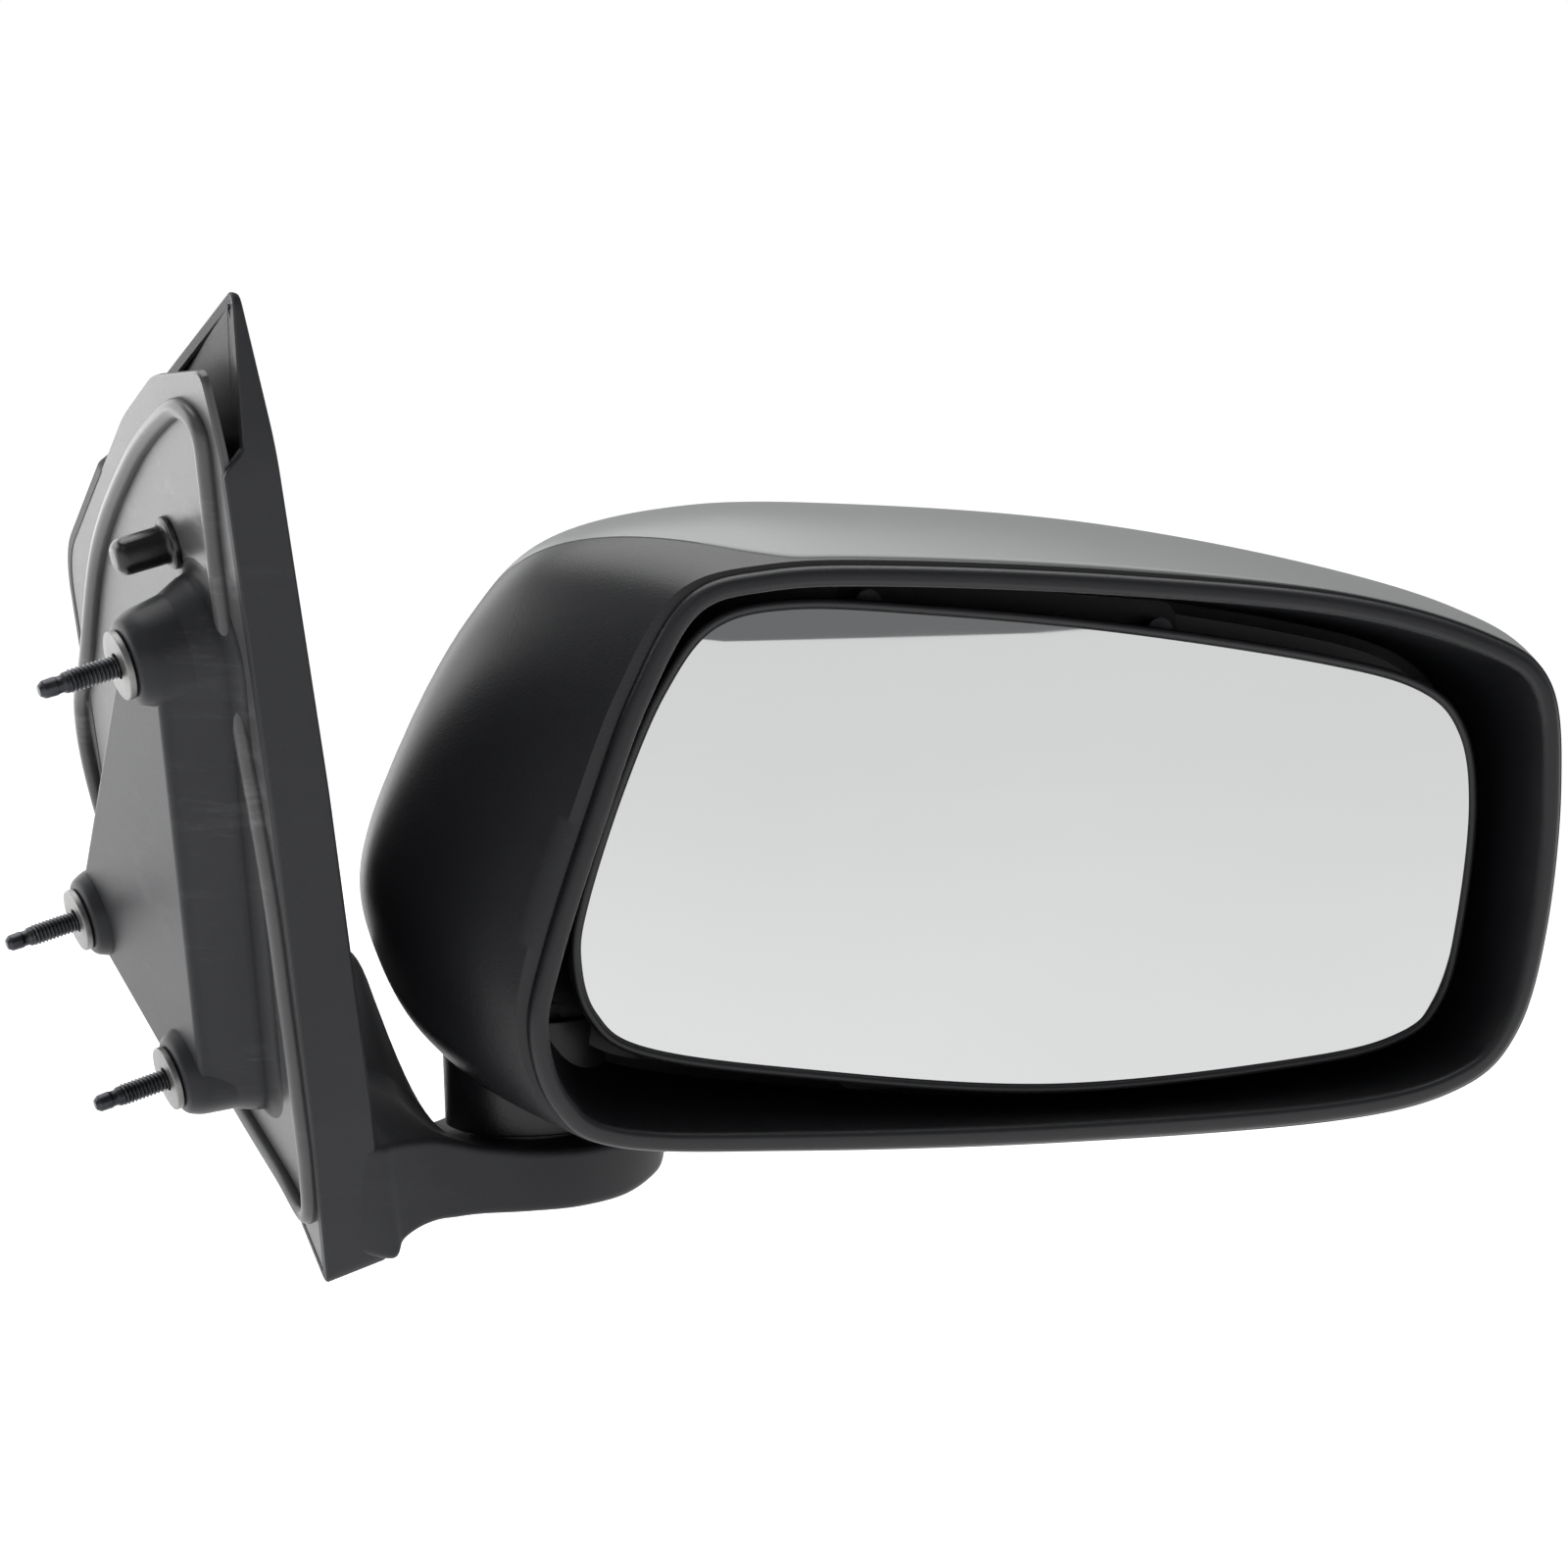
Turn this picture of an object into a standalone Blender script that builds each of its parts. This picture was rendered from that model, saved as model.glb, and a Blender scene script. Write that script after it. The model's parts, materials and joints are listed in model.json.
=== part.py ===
"""Right-hand door mirror of a pickup: manual glass, manual fold, unpainted front cap.

World frame: +X away from the door, +Y forward, +Z up, in metres. The origin lies on the
flat face that seats against the door. The base is built in a frame that leans with the door
glass, and the head in a frame that turns on the fold shaft, with x along the rim, y forward.
"""
import bpy
import numpy as np
from math import radians, cos, sin, pi
from mathutils import Matrix, Vector

# ---- driving sizes -------------------------------------------------------------------------
door_lean = radians(15.0)        # the door glass leans inwards at the top
toe_in = radians(10.0)           # the rim plane faces the driver
gap = 0.0003                     # play between pieces that touch
fit = 0.0005                     # play of a plastic piece in its seat

head_width = 0.276               # rim, inner end to outer end
head_height = 0.147              # rim, lowest to highest point
head_depth = 0.095               # rim plane to the front of the cap
belly_depth = 0.045              # rim plane to the fullest section
inner_end = -0.010               # x of the rim's inner end in the head frame
rim_bottom = -0.0775             # z of the rim's lowest point
rim_plane = -0.051               # y of the rim plane in the head frame
rim_round = 0.0022               # rounding of the lip
lip_t = 0.026                    # place on the shell where the rounding of the lip starts
shell_wall = 0.0025              # housing and cap
recess_wall = 0.002              # skirt round the glass
rim_width = shell_wall + recess_wall + 0.0005    # flat lip round the recess
recess_depth = 0.042             # rim plane to the end of the skirt
skirt_gap = 0.0065                # glass holder to the end of the skirt

glass_depth = 0.017              # rim plane to the edge of the holder
glass_radius = 1.40              # the glass is a shallow convex sphere
glass_thickness = 0.0019
pad_thickness = 0.0010
holder_lip = 0.002               # width of the holder's edge round the glass
holder_floor = 0.0022

fold_x = 0.105                   # fold shaft, world
fold_y = 0.005
platform_top = -0.076            # top of the arm under the head
hub_radius = 0.017
hub_foot = -0.0742               # lowest face of the head's hub
hub_height = 0.033
collar_height = 0.020            # skirt of the housing round the hub
shaft_radius = 0.006
shaft_bottom = -0.0845
shaft_top = -0.0300
spring_wire = 0.0024
spring_pocket = 0.0134
spring_turns = 4.5

pedestal_height = 0.019          # seating face to the gasket sheet
pedestal_radius = 0.012          # corner round each stud
pedestal_draft = 0.0038
boss_height = 0.002
boss_radius = 0.0095
washer_radius = 0.008
washer_thickness = 0.0017
stud_radius = 0.0027
stud_reach = 0.0224              # seating face to the stud's tip
stud_root = 0.012                # depth of the stud in the bracket
stud_places = {"upper": (-0.0584, 0.0556), "front": (0.0511, -0.0214), "lower": (0.0061, -0.0560)}

sail_depth = 0.0145              # edge of the cover to its outer face, at the middle height
sail_taper = 0.02                # the cover grows deeper towards its lower end
cover_wall = 0.0028
core_gap = 0.0012                # bracket's arm to the inside of the cover
cover_screws = [(-0.072, 0.098), (0.064, 0.014)]
cover_screw_radius = 0.0016
cover_boss_radius = 0.004
cover_head_radius = 0.0034
cover_head_height = 0.0018
sheet_thickness = 0.0018
plate_thickness = 0.004
peg_place = (-0.047, 0.077)
peg_radius = 0.0045
peg_reach = 0.014

# ---- outlines ------------------------------------------------------------------------------
# Fractions of the head's width and height, from the middle of the bottom edge, towards the
# outer end. The two lists pair up point by point, so the shell's ribs run from rim to belly.
rim_points = [
    (0.504, 0.000), (0.775, 0.007), (0.902, 0.051), (0.960, 0.146), (0.989, 0.330),
    (1.000, 0.582), (0.986, 0.769), (0.920, 0.857), (0.775, 0.932), (0.558, 0.976),
    (0.341, 1.000), (0.221, 0.997), (0.145, 0.955), (0.094, 0.799), (0.054, 0.602),
    (0.014, 0.378), (0.000, 0.241), (0.022, 0.112), (0.080, 0.040), (0.250, 0.014)]
belly_points = [
    (0.504, -0.024), (0.775, -0.020), (0.920, 0.024), (0.986, 0.126), (1.018, 0.323),
    (1.033, 0.582), (1.018, 0.799), (0.942, 0.895), (0.775, 0.983), (0.565, 1.054),
    (0.350, 1.088), (0.190, 1.090), (0.060, 1.035), (-0.014, 0.901), (-0.076, 0.697),
    (-0.116, 0.486), (-0.101, 0.323), (-0.055, 0.176), (0.028, 0.066), (0.190, 0.010)]
glass_points = [
    (0.504, 0.069), (0.760, 0.086), (0.868, 0.120), (0.912, 0.190), (0.932, 0.330),
    (0.943, 0.540), (0.930, 0.680), (0.885, 0.765), (0.780, 0.822), (0.570, 0.888),
    (0.380, 0.927), (0.255, 0.940), (0.180, 0.907), (0.132, 0.795), (0.092, 0.625),
    (0.060, 0.440), (0.053, 0.340), (0.068, 0.240), (0.115, 0.172), (0.255, 0.122)]
pole = (0.47, 0.54)              # front-most point of the cap, in the same fractions

# y, z and corner radius in the base frame, from the upper tip along the front edge
sail_corners = [
    (-0.108, 0.133, 0.003), (-0.036, 0.1085, 0.090), (0.048, 0.070, 0.035), (0.093, -0.025, 0.030),
    (0.010, -0.095, 0.012), (-0.001, -0.120, 0.0025), (-0.028, -0.070, 0.100), (-0.068, 0.015, 0.200),
    (-0.102, 0.097, 0.060)]
sheet_corners = [
    (-0.103, 0.117, 0.010), (-0.065, 0.1140, 0.030), (0.045, 0.064, 0.033), (0.088, -0.0245, 0.027),
    (0.007, -0.0920, 0.010), (-0.003, -0.107, 0.003), (-0.026, -0.066, 0.100), (-0.064, 0.015, 0.200),
    (-0.098, 0.094, 0.050)]

# Sections of the arm along X: x, fullness of the lower front corner, rear y at the bottom and
# at the crease, front y, then the heights of the bottom, the crease, the saddle and the ridge.
# A section leans with the door where the arm leaves the sail, and stands upright further out.
arm_sections = [
    (0.057, 0.10, -0.0065, -0.0210, 0.056, -0.1050, -0.0715, -0.0560, -0.0300),
    (0.061, 0.20, -0.0085, -0.0200, 0.056, -0.0998, -0.0712, -0.0570, -0.0305),
    (0.066, 0.35, -0.0100, -0.0190, 0.055, -0.0965, -0.0712, -0.0600, -0.0315),
    (0.072, 0.50, -0.0110, -0.0180, 0.054, -0.0945, -0.0715, -0.0645, -0.0325),
    (0.078, 0.70, -0.0120, -0.0180, 0.054, -0.0938, -0.0725, -0.0735, -0.0345),
    (0.085, 0.85, -0.0145, -0.0190, 0.047, -0.0930, -0.0742, -0.0762, -0.0757),
    (0.0965, 1.00, -0.0195, -0.0222, 0.038, -0.0924, -0.0756, -0.0760, -0.0758),
    (0.1095, 1.00, -0.0210, -0.0235, 0.034, -0.0922, -0.0760, -0.0760, -0.0758),
    (0.124, 1.00, -0.0170, -0.0190, 0.030, -0.0914, -0.0760, -0.0760, -0.0758),
    (0.136, 1.00, -0.0090, -0.0110, 0.022, -0.0885, -0.0762, -0.0762, -0.0762),
    (0.142, 1.00, 0.0000, -0.0010, 0.011, -0.0862, -0.0770, -0.0770, -0.0770)]
arm_root = (0.0, -0.0035, -0.0215, 0.055, -0.1140, -0.0800, -0.0620, -0.0400)
arm_upright = 0.090              # x from where the sections stand upright
arm_middle = -0.075              # height at which x is measured
arm_round = 0.003
flat_core_back = 0.008           # front of the bracket's arm, behind the front of the cover's


# ---- mesh tools ----------------------------------------------------------------------------
def clear_scene():
    for item in list(bpy.data.objects):
        bpy.data.objects.remove(item, do_unlink=True)


def material(name, colour, roughness, metallic=0.0):
    mat = bpy.data.materials.new(name)
    mat.use_nodes = True
    shader = mat.node_tree.nodes["Principled BSDF"]
    shader.inputs["Base Color"].default_value = (*colour, 1.0)
    shader.inputs["Roughness"].default_value = roughness
    shader.inputs["Metallic"].default_value = metallic
    return mat


def make_piece(name, verts, faces, mat, parent=None, location=(0, 0, 0), rotation=(0, 0, 0), sharp=35):
    mesh = bpy.data.meshes.new(name)
    mesh.from_pydata([tuple(float(c) for c in v) for v in verts], [], faces)
    mesh.validate()
    piece = bpy.data.objects.new(name, mesh)
    bpy.context.scene.collection.objects.link(piece)
    piece.location = location
    piece.rotation_euler = rotation
    piece.parent = parent
    mesh.materials.append(mat)
    mesh.shade_smooth()
    mesh.set_sharp_from_angle(angle=radians(sharp))
    return piece


def boolean(piece, cutter, operation, solver="EXACT"):
    """Add or cut another shape, which then serves only as a guide."""
    cutter.hide_render = True
    cutter.display_type = "WIRE"
    step = piece.modifiers.new(cutter.name, "BOOLEAN")
    step.operation = operation
    step.solver = solver
    step.object = cutter


def spline_loop(points, per_span):
    """Closed Catmull-Rom curve through the points, per_span steps from each to the next."""
    p = np.array(points, float)
    a, b, c, d = np.roll(p, 1, 0), p, np.roll(p, -1, 0), np.roll(p, -2, 0)
    t = (np.arange(per_span) / per_span)[None, :, None]
    a, b, c, d = (q[:, None, :] for q in (a, b, c, d))
    curve = 0.5 * (2 * b + (c - a) * t + (2 * a - 5 * b + 4 * c - d) * t**2
                   + (3 * b - a - 3 * c + d) * t**3)
    return curve.reshape(-1, p.shape[1])


def rounded_polygon(corners, steps=4):
    """Polygon with corners (a, b, radius), each rounded by a parabola of steps + 1 points."""
    points = []
    count = len(corners)
    for i in range(count):
        before, here, after = (np.array(corners[k % count][:2]) for k in (i - 1, i, i + 1))
        to_before, to_after = before - here, after - here
        room = 0.48 * min(np.linalg.norm(to_before), np.linalg.norm(to_after))
        to_before, to_after = (v / np.linalg.norm(v) for v in (to_before, to_after))
        half = np.arccos(np.clip(to_before @ to_after, -0.9999, 1)) / 2
        cut = min(max(corners[i][2] / np.tan(half), 0.0005), room)
        start, end = here + to_before * cut, here + to_after * cut
        for s in np.linspace(0, 1, steps + 1):
            points.append((1 - s) ** 2 * start + 2 * s * (1 - s) * here + s**2 * end)
    return np.array(points)


def inset(loop, distance):
    """Move a closed 2-D loop inwards by a distance, with mitred corners."""
    p = np.array(loop, float)
    ahead = np.roll(p, -1, 0) - p
    ahead = ahead / np.linalg.norm(ahead, axis=1)[:, None]
    normal = np.stack([-ahead[:, 1], ahead[:, 0]], 1)
    area = np.sum(p[:, 0] * np.roll(p[:, 1], -1) - np.roll(p[:, 0], -1) * p[:, 1])
    normal = normal * (1 if area > 0 else -1)
    behind = np.roll(normal, 1, 0)
    mitre = (normal + behind) / (1 + np.sum(normal * behind, 1))[:, None]
    return p + mitre * distance


def inset_corners(corners, distance):
    """Polygon corners (a, b, radius) moved inwards, with radii that shrink as much."""
    moved = inset([c[:2] for c in corners], distance)
    return [(a, b, max(c[2] - distance, 0.0006)) for (a, b), c in zip(moved, corners)]


def face_outwards(verts, faces):
    """Reverse the faces when the closed shape they make has a negative volume."""
    v = np.array(verts, float)
    total = 0.0
    for face in faces:
        for k in range(1, len(face) - 1):
            total += np.dot(v[face[0]], np.cross(v[face[k]], v[face[k + 1]]))
    return faces if total > 0 else [tuple(reversed(f)) for f in faces]


def skin(rings, poles=None, loop_rings=False):
    """Join equal rings of points with faces, closed by flat ends, by two poles or in a loop."""
    count = len(rings[0])
    verts = [tuple(p) for ring in rings for p in ring]
    faces = []
    pairs = len(rings) if loop_rings else len(rings) - 1
    for r in range(pairs):
        a, b = r * count, ((r + 1) % len(rings)) * count
        faces += [(a + k, a + (k + 1) % count, b + (k + 1) % count, b + k) for k in range(count)]
    if not loop_rings:
        for start, turn in ((0, -1), ((len(rings) - 1) * count, 1)):
            if poles is None:
                faces.append(tuple(start + k for k in range(count))[::turn])
                continue
            pole_index = len(verts)
            verts.append(tuple(poles[0] if turn < 0 else poles[1]))
            faces += [(start + k, start + (k + 1) % count, pole_index)[::turn] for k in range(count)]
    return verts, face_outwards(verts, faces)


def turned(profile, segments=24):
    """Solid of revolution about Z from a closed (radius, z) profile. Radius 0 is a pole."""
    verts, faces, index = [], [], []
    for radius, z in profile:
        if radius < 1e-9:
            index.append([len(verts)] * segments)
            verts.append((0.0, 0.0, z))
        else:
            index.append([len(verts) + k for k in range(segments)])
            turns = [2 * pi * k / segments for k in range(segments)]
            verts += [(radius * cos(a), radius * sin(a), z) for a in turns]
    on_axis = profile[0][0] < 1e-9 and profile[-1][0] < 1e-9
    for r in range(len(profile) - (1 if on_axis else 0)):
        low, high = index[r], index[(r + 1) % len(profile)]
        for k in range(segments):
            n = (k + 1) % segments
            corners = [low[k], low[n], high[n], high[k]]
            face = tuple(c for i, c in enumerate(corners) if c not in corners[:i])
            if len(face) > 2:
                faces.append(face)
    return verts, face_outwards(verts, faces)


def ring_profile(inner, outer, low, high):
    return [(inner, low), (outer, low), (outer, high), (inner, high)]


def rod_profile(steps):
    """Profile of a stepped rod from (radius, z) corners, closed at both poles."""
    return [(0.0, steps[0][1])] + list(steps) + [(0.0, steps[-1][1])]


def box(low, high):
    xs, ys, zs = zip(low, high)
    ring = [[(xs[i], ys[j], z) for i, j in ((0, 0), (1, 0), (1, 1), (0, 1))] for z in zs]
    return skin(ring)


def together(shapes):
    """Several closed shapes in one mesh, to add or cut in one step."""
    verts, faces = [], []
    for some_verts, some_faces in shapes:
        start = len(verts)
        verts += list(some_verts)
        faces += [tuple(start + k for k in face) for face in some_faces]
    return verts, faces


def rod(steps, direction, place, segments=16):
    """Stepped rod whose (radius, height) steps stand on a place along a direction."""
    verts, faces = turned(rod_profile(steps), segments)
    return turn_to(verts, direction, place), faces


def turn_to(verts, direction, place):
    """Carry a shape built along +Z to a place, with +Z along the direction."""
    turn = Vector((0, 0, 1)).rotation_difference(Vector(direction)).to_matrix()
    return [tuple(turn @ Vector(v) + Vector(place)) for v in verts]


# ---- head surface --------------------------------------------------------------------------
def head_xz(points):
    p = np.array(points, float)
    return np.stack([inner_end + p[:, 0] * head_width, rim_bottom + p[:, 1] * head_height], 1)


rib_count = 60
fine = 24                        # steps of the splines from point to point


def even_ribs(loop):
    """Indices that stand at equal distances along a finely stepped loop."""
    length = np.linalg.norm(np.roll(loop, -1, 0) - loop, axis=1)
    run = np.concatenate([[0], np.cumsum(length)])
    return np.searchsorted(run, np.arange(rib_count) * run[-1] / rib_count)


ribs = even_ribs(head_xz(spline_loop(rim_points, fine)))
rim_loop, belly_loop, glass_loop = (head_xz(spline_loop(points, fine))[ribs]
                                    for points in (rim_points, belly_points, glass_points))
pole_xz = head_xz([pole])[0]


def shell_point(t, wall=0.0):
    """Outer surface of the head, or the inner one a wall inside it, one point per rib.

    t runs from 0 at the rim to 1 at the pole. Up to the belly the outline swells from the
    rim's to the belly's as a quarter sine. From there it closes like a superellipse.
    """
    rim, belly = inset(rim_loop, wall), inset(belly_loop, wall)
    t = np.broadcast_to(np.asarray(t, float), (rib_count,))
    belly_t = 0.45
    swell = np.sin(np.clip(t / belly_t, 0, 1) * pi / 2)[:, None]
    outline = rim + (belly - rim) * swell
    arc = np.clip((t - belly_t) / (1 - belly_t), 0, 1) * pi / 2
    power = 2 / 2.4
    scale = np.where(arc >= pi / 2 - 1e-9, 0, np.cos(arc)) ** power
    outline = pole_xz + (outline - pole_xz) * scale[:, None]
    dome = (head_depth - wall - belly_depth) * np.sin(arc) ** power
    depth = np.where(t < belly_t, belly_depth * t / belly_t, belly_depth + dome)
    return np.stack([outline[:, 0], rim_plane + depth, outline[:, 1]], 1)


def parting_t():
    """The cap's edge runs close to the rim, and swings forward round the inner end."""
    near_rim, inner = 0.035, 0.74
    fraction = (belly_loop[:, 0] - inner_end) / head_width
    upper = belly_loop[:, 1] > pole_xz[1]
    start, end = np.where(upper, 0.25, 0.50), -0.15
    s = np.clip((start - fraction) / (start - end), 0, 1)
    return near_rim + (inner - near_rim) * (3 * s**2 - 2 * s**3)


def shell_rows(t_from, t_to, rows, wall=0.0):
    """Rows of the surface between two t values per rib."""
    return [shell_point(t_from + (t_to - t_from) * k / rows, wall) for k in range(rows + 1)]


def rim_row(inwards, depth):
    loop = inset(rim_loop, inwards)
    return np.stack([loop[:, 0], np.full(len(loop), rim_plane + depth), loop[:, 1]], 1)


def skirt_row(outwards):
    """End of the skirt, which keeps its distance to the glass all round."""
    loop = inset(glass_loop, -(skirt_gap + outwards))
    return np.stack([loop[:, 0], np.full(len(loop), rim_plane + recess_depth), loop[:, 1]], 1)


# ---- materials -----------------------------------------------------------------------------
clear_scene()
black_plastic = material("black_textured_plastic", (0.030, 0.031, 0.034), 0.55)
rim_plastic = material("black_housing_plastic", (0.022, 0.022, 0.025), 0.45)
primer_grey = material("grey_primer", (0.33, 0.34, 0.34), 0.40)
rubber = material("black_rubber", (0.040, 0.040, 0.043), 0.70)
nylon = material("glass_filled_nylon", (0.035, 0.036, 0.040), 0.50)
zinc = material("zinc_plated_steel", (0.62, 0.61, 0.58), 0.35, 1.0)
black_steel = material("black_steel", (0.05, 0.05, 0.055), 0.40, 1.0)
spring_steel = material("spring_steel", (0.35, 0.35, 0.36), 0.30, 1.0)
silver = material("mirror_silver", (0.86, 0.87, 0.88), 0.03, 1.0)
foam = material("adhesive_foam", (0.20, 0.20, 0.21), 0.90)
acetal = material("white_acetal", (0.70, 0.70, 0.68), 0.45)

# ---- frames --------------------------------------------------------------------------------
base_frame = bpy.data.objects.new("base_frame", None)
base_frame.rotation_euler = (0, -door_lean, 0)
head_frame_empty = bpy.data.objects.new("fold_axis", None)
head_frame_empty.location = (fold_x, fold_y, 0)
head_frame_empty.rotation_euler = (0, 0, -toe_in)
for empty in (base_frame, head_frame_empty):
    bpy.context.scene.collection.objects.link(empty)
lean = np.array(Matrix.Rotation(-door_lean, 3, "Y"))


def world_to_base(points):
    return np.array(points, float) @ lean


def plate_at(loop, x):
    """Stand a y, z loop at a base-frame x, which may differ from point to point."""
    x = np.broadcast_to(np.asarray(x, float), (len(loop),))
    return np.stack([x, loop[:, 0], loop[:, 1]], 1)


# ---- base: sail cover and arm --------------------------------------------------------------
sail_loop = rounded_polygon(sail_corners, 5)
sail_hollow_loop = rounded_polygon(inset_corners(sail_corners, cover_wall), 5)
sheet_x = pedestal_height


def sail_face(loop, inwards=0.0):
    """Outer face of the sail, which leans out a little towards the bottom."""
    return sheet_x + sail_depth - inwards - sail_taper * loop[:, 1]


def arm_section(inwards, fullness, rear_low, rear, front, bottom, crease, saddle, ridge):
    wide, tall = front - rear, crease - bottom
    slim = (rear_low + 0.36 * (front - rear_low), bottom + 0.80 * tall)
    full = (front - 0.05 * wide, bottom + 0.2 * tall)
    low_y, low_z = (a + (b - a) * fullness for a, b in zip(slim, full))
    corners = [(rear_low, bottom, arm_round), (rear, crease, arm_round),
               (rear + 0.40 * wide, saddle, 0.3 * wide), (front - 0.16 * wide, ridge, 0.1 * wide),
               (front, ridge - 0.35 * tall, 0.1 * wide), (low_y, low_z, 0.1 * wide)]
    return rounded_polygon(inset_corners(corners, inwards), 3)


def core_section(inwards, fullness, rear_low, rear, front, bottom, crease, saddle, ridge):
    """Section of the bracket's arm: flat on top, and inside the cover's section."""
    top = min(crease, saddle, ridge)
    span, tall = front - rear_low, top - bottom
    front_y = rear_low + span * (0.29 + 0.71 * fullness) - flat_core_back * fullness
    slim = (rear_low + 0.20 * span, bottom + 0.45 * tall)
    full = (front_y - 0.05 * span, bottom + 0.20 * tall)
    low_y, low_z = (a + (b - a) * fullness ** 2 for a, b in zip(slim, full))
    return inset([(rear_low, bottom), (rear, top), (front_y, top), (front_y, top - 0.35 * tall),
                  (low_y, low_z)], inwards)


def arm_solid(inwards, first_x, core=False):
    """Arm from the sail to its round end, in the base frame, drawn in by a wall."""
    sections = arm_sections if inwards == 0 else arm_sections[:-1]
    rings = []
    for x, *sizes in [(None, *arm_root)] + sections:
        loop = core_section(inwards, *sizes) if core else arm_section(inwards, *sizes)
        if x is None:
            rings.append(plate_at(loop, first_x))
            continue
        upright = np.clip((arm_upright - x) / (arm_upright - sections[0][0]), 0, 1)
        leaning = x - (loop[:, 1] - arm_middle) * np.tan(door_lean) * upright
        rings.append(world_to_base(plate_at(loop, leaning)))
    middle = rings[-1].mean(0)
    tip = 0.004 - inwards
    rings.append(middle + (rings[-1] - middle) * 0.5 + world_to_base([(tip, 0, 0)]))
    return skin(rings)


def make_base_cover():
    edge_round = 0.0012
    top_loop = rounded_polygon(inset_corners(sail_corners, edge_round), 5)
    outer = [plate_at(sail_loop, sheet_x), plate_at(sail_loop, sail_face(sail_loop, edge_round)),
             plate_at(top_loop, sail_face(top_loop))]
    cover = make_piece("base_cover", *skin(outer), black_plastic, base_frame)
    arm = make_piece("arm_blank", *arm_solid(0.0, sheet_x + sail_depth - 0.006), black_plastic, base_frame)
    boolean(cover, arm, "UNION")
    loop = sail_hollow_loop
    hollow = [plate_at(loop, sheet_x - 0.01), plate_at(loop, sail_face(loop, cover_wall))]
    boolean(cover, make_piece("sail_hollow", *skin(hollow), black_plastic, base_frame), "DIFFERENCE")
    inner = make_piece("arm_hollow", *arm_solid(cover_wall, sheet_x + 0.004), black_plastic, base_frame)
    boolean(cover, inner, "DIFFERENCE")
    tip_x = sheet_x + sail_depth - 0.0015
    bosses = [rod([(cover_boss_radius, 0.0), (cover_boss_radius, tip_x - cover_screw_seat)], (-1, 0, 0),
                  (tip_x, *place)) for place in cover_screws]
    boolean(cover, make_piece("cover_bosses", *together(bosses), black_plastic, base_frame), "UNION")
    steps = [(cover_screw_radius + gap, 0.0), (cover_screw_radius + gap, 0.02)]
    holes = [rod(steps, (-1, 0, 0), (tip_x - 0.002, *place)) for place in cover_screws]
    boolean(cover, make_piece("cover_holes", *together(holes), black_plastic, base_frame), "DIFFERENCE")
    mouth = turned(rod_profile([(boss_seat_radius + gap, -0.080), (boss_seat_radius + gap, -0.070)]), 36)
    hole = make_piece("platform_mouth", *mouth, black_plastic, None, (fold_x, fold_y, 0))
    boolean(cover, hole, "DIFFERENCE", "MANIFOLD")


boss_seat_radius = hub_radius - 0.0015
collar_bore = hub_radius + 0.0008
plate_front = sheet_x + sheet_thickness + gap
cover_screw_seat = plate_front + plate_thickness + gap


def pedestal_loop(radius):
    """Outline round the three studs at a distance from their axes."""
    corners = []
    places = [np.array(p) for p in stud_places.values()]
    middle = sum(places) / 3
    for i, here in enumerate(places):
        before, after = places[i - 1], places[(i + 1) % 3]
        out_a, out_b = ((np.array([d[1], -d[0]]) / np.linalg.norm(d)) for d in (here - before, after - here))
        if out_a @ (here - middle) < 0:
            out_a, out_b = -out_a, -out_b
        start, end = np.arctan2(out_a[1], out_a[0]), np.arctan2(out_b[1], out_b[0])
        sweep = (end - start + pi) % (2 * pi) - pi
        corners += [here + radius * np.array([cos(start + sweep * k / 6), sin(start + sweep * k / 6)])
                    for k in range(7)]
    return np.array(corners)


def make_base_bracket():
    loop = rounded_polygon(inset_corners(sheet_corners, fit), 4)
    rings = [plate_at(loop, plate_front), plate_at(loop, plate_front + plate_thickness)]
    bracket = make_piece("base_bracket", *skin(rings), nylon, base_frame)
    stages = [(pedestal_radius - 0.0015, 0.0), (pedestal_radius, 0.0015),
              (pedestal_radius + pedestal_draft, pedestal_height + sheet_thickness + 0.002)]
    rings = [plate_at(pedestal_loop(radius), x) for radius, x in stages]
    boolean(bracket, make_piece("pedestal", *skin(rings), nylon, base_frame), "UNION")
    steps = [(boss_radius, 0.0), (boss_radius, boss_height + 0.004)]
    bosses = together([rod(steps, (-1, 0, 0), (0.004, *place), 24) for place in stud_places.values()])
    boolean(bracket, make_piece("bosses", *bosses, nylon, base_frame), "UNION")
    core = make_piece("arm_core", *arm_solid(cover_wall + core_gap, plate_front + 0.002, True), nylon, base_frame)
    boolean(bracket, core, "UNION")
    seat = turned(rod_profile([(boss_seat_radius, -0.084), (boss_seat_radius, platform_top - 0.0007)]), 36)
    boolean(bracket, make_piece("pivot_seat", *seat, nylon, None, (fold_x, fold_y, 0)), "UNION")
    steps = [(stud_radius + gap, 0.0), (stud_radius + gap, 0.030)]
    holes = [rod(steps, (-1, 0, 0), (stud_root + gap, *place), 24) for place in stud_places.values()]
    steps = [(shaft_radius + gap, shaft_bottom - gap), (shaft_radius + gap, -0.060)]
    verts, faces = rod(steps, (0, 0, 1), (fold_x, fold_y, 0), 24)
    holes.append((world_to_base(verts), faces))
    head = cover_head_radius + gap
    steps = [(head, -0.005), (head, cover_head_height + gap), (cover_screw_radius + gap, cover_head_height + gap),
             (cover_screw_radius + gap, plate_thickness + 0.005)]
    holes += [rod(steps, (1, 0, 0), (plate_front, *place)) for place in cover_screws]
    boolean(bracket, make_piece("bracket_holes", *together(holes), nylon, base_frame), "DIFFERENCE")


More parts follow.
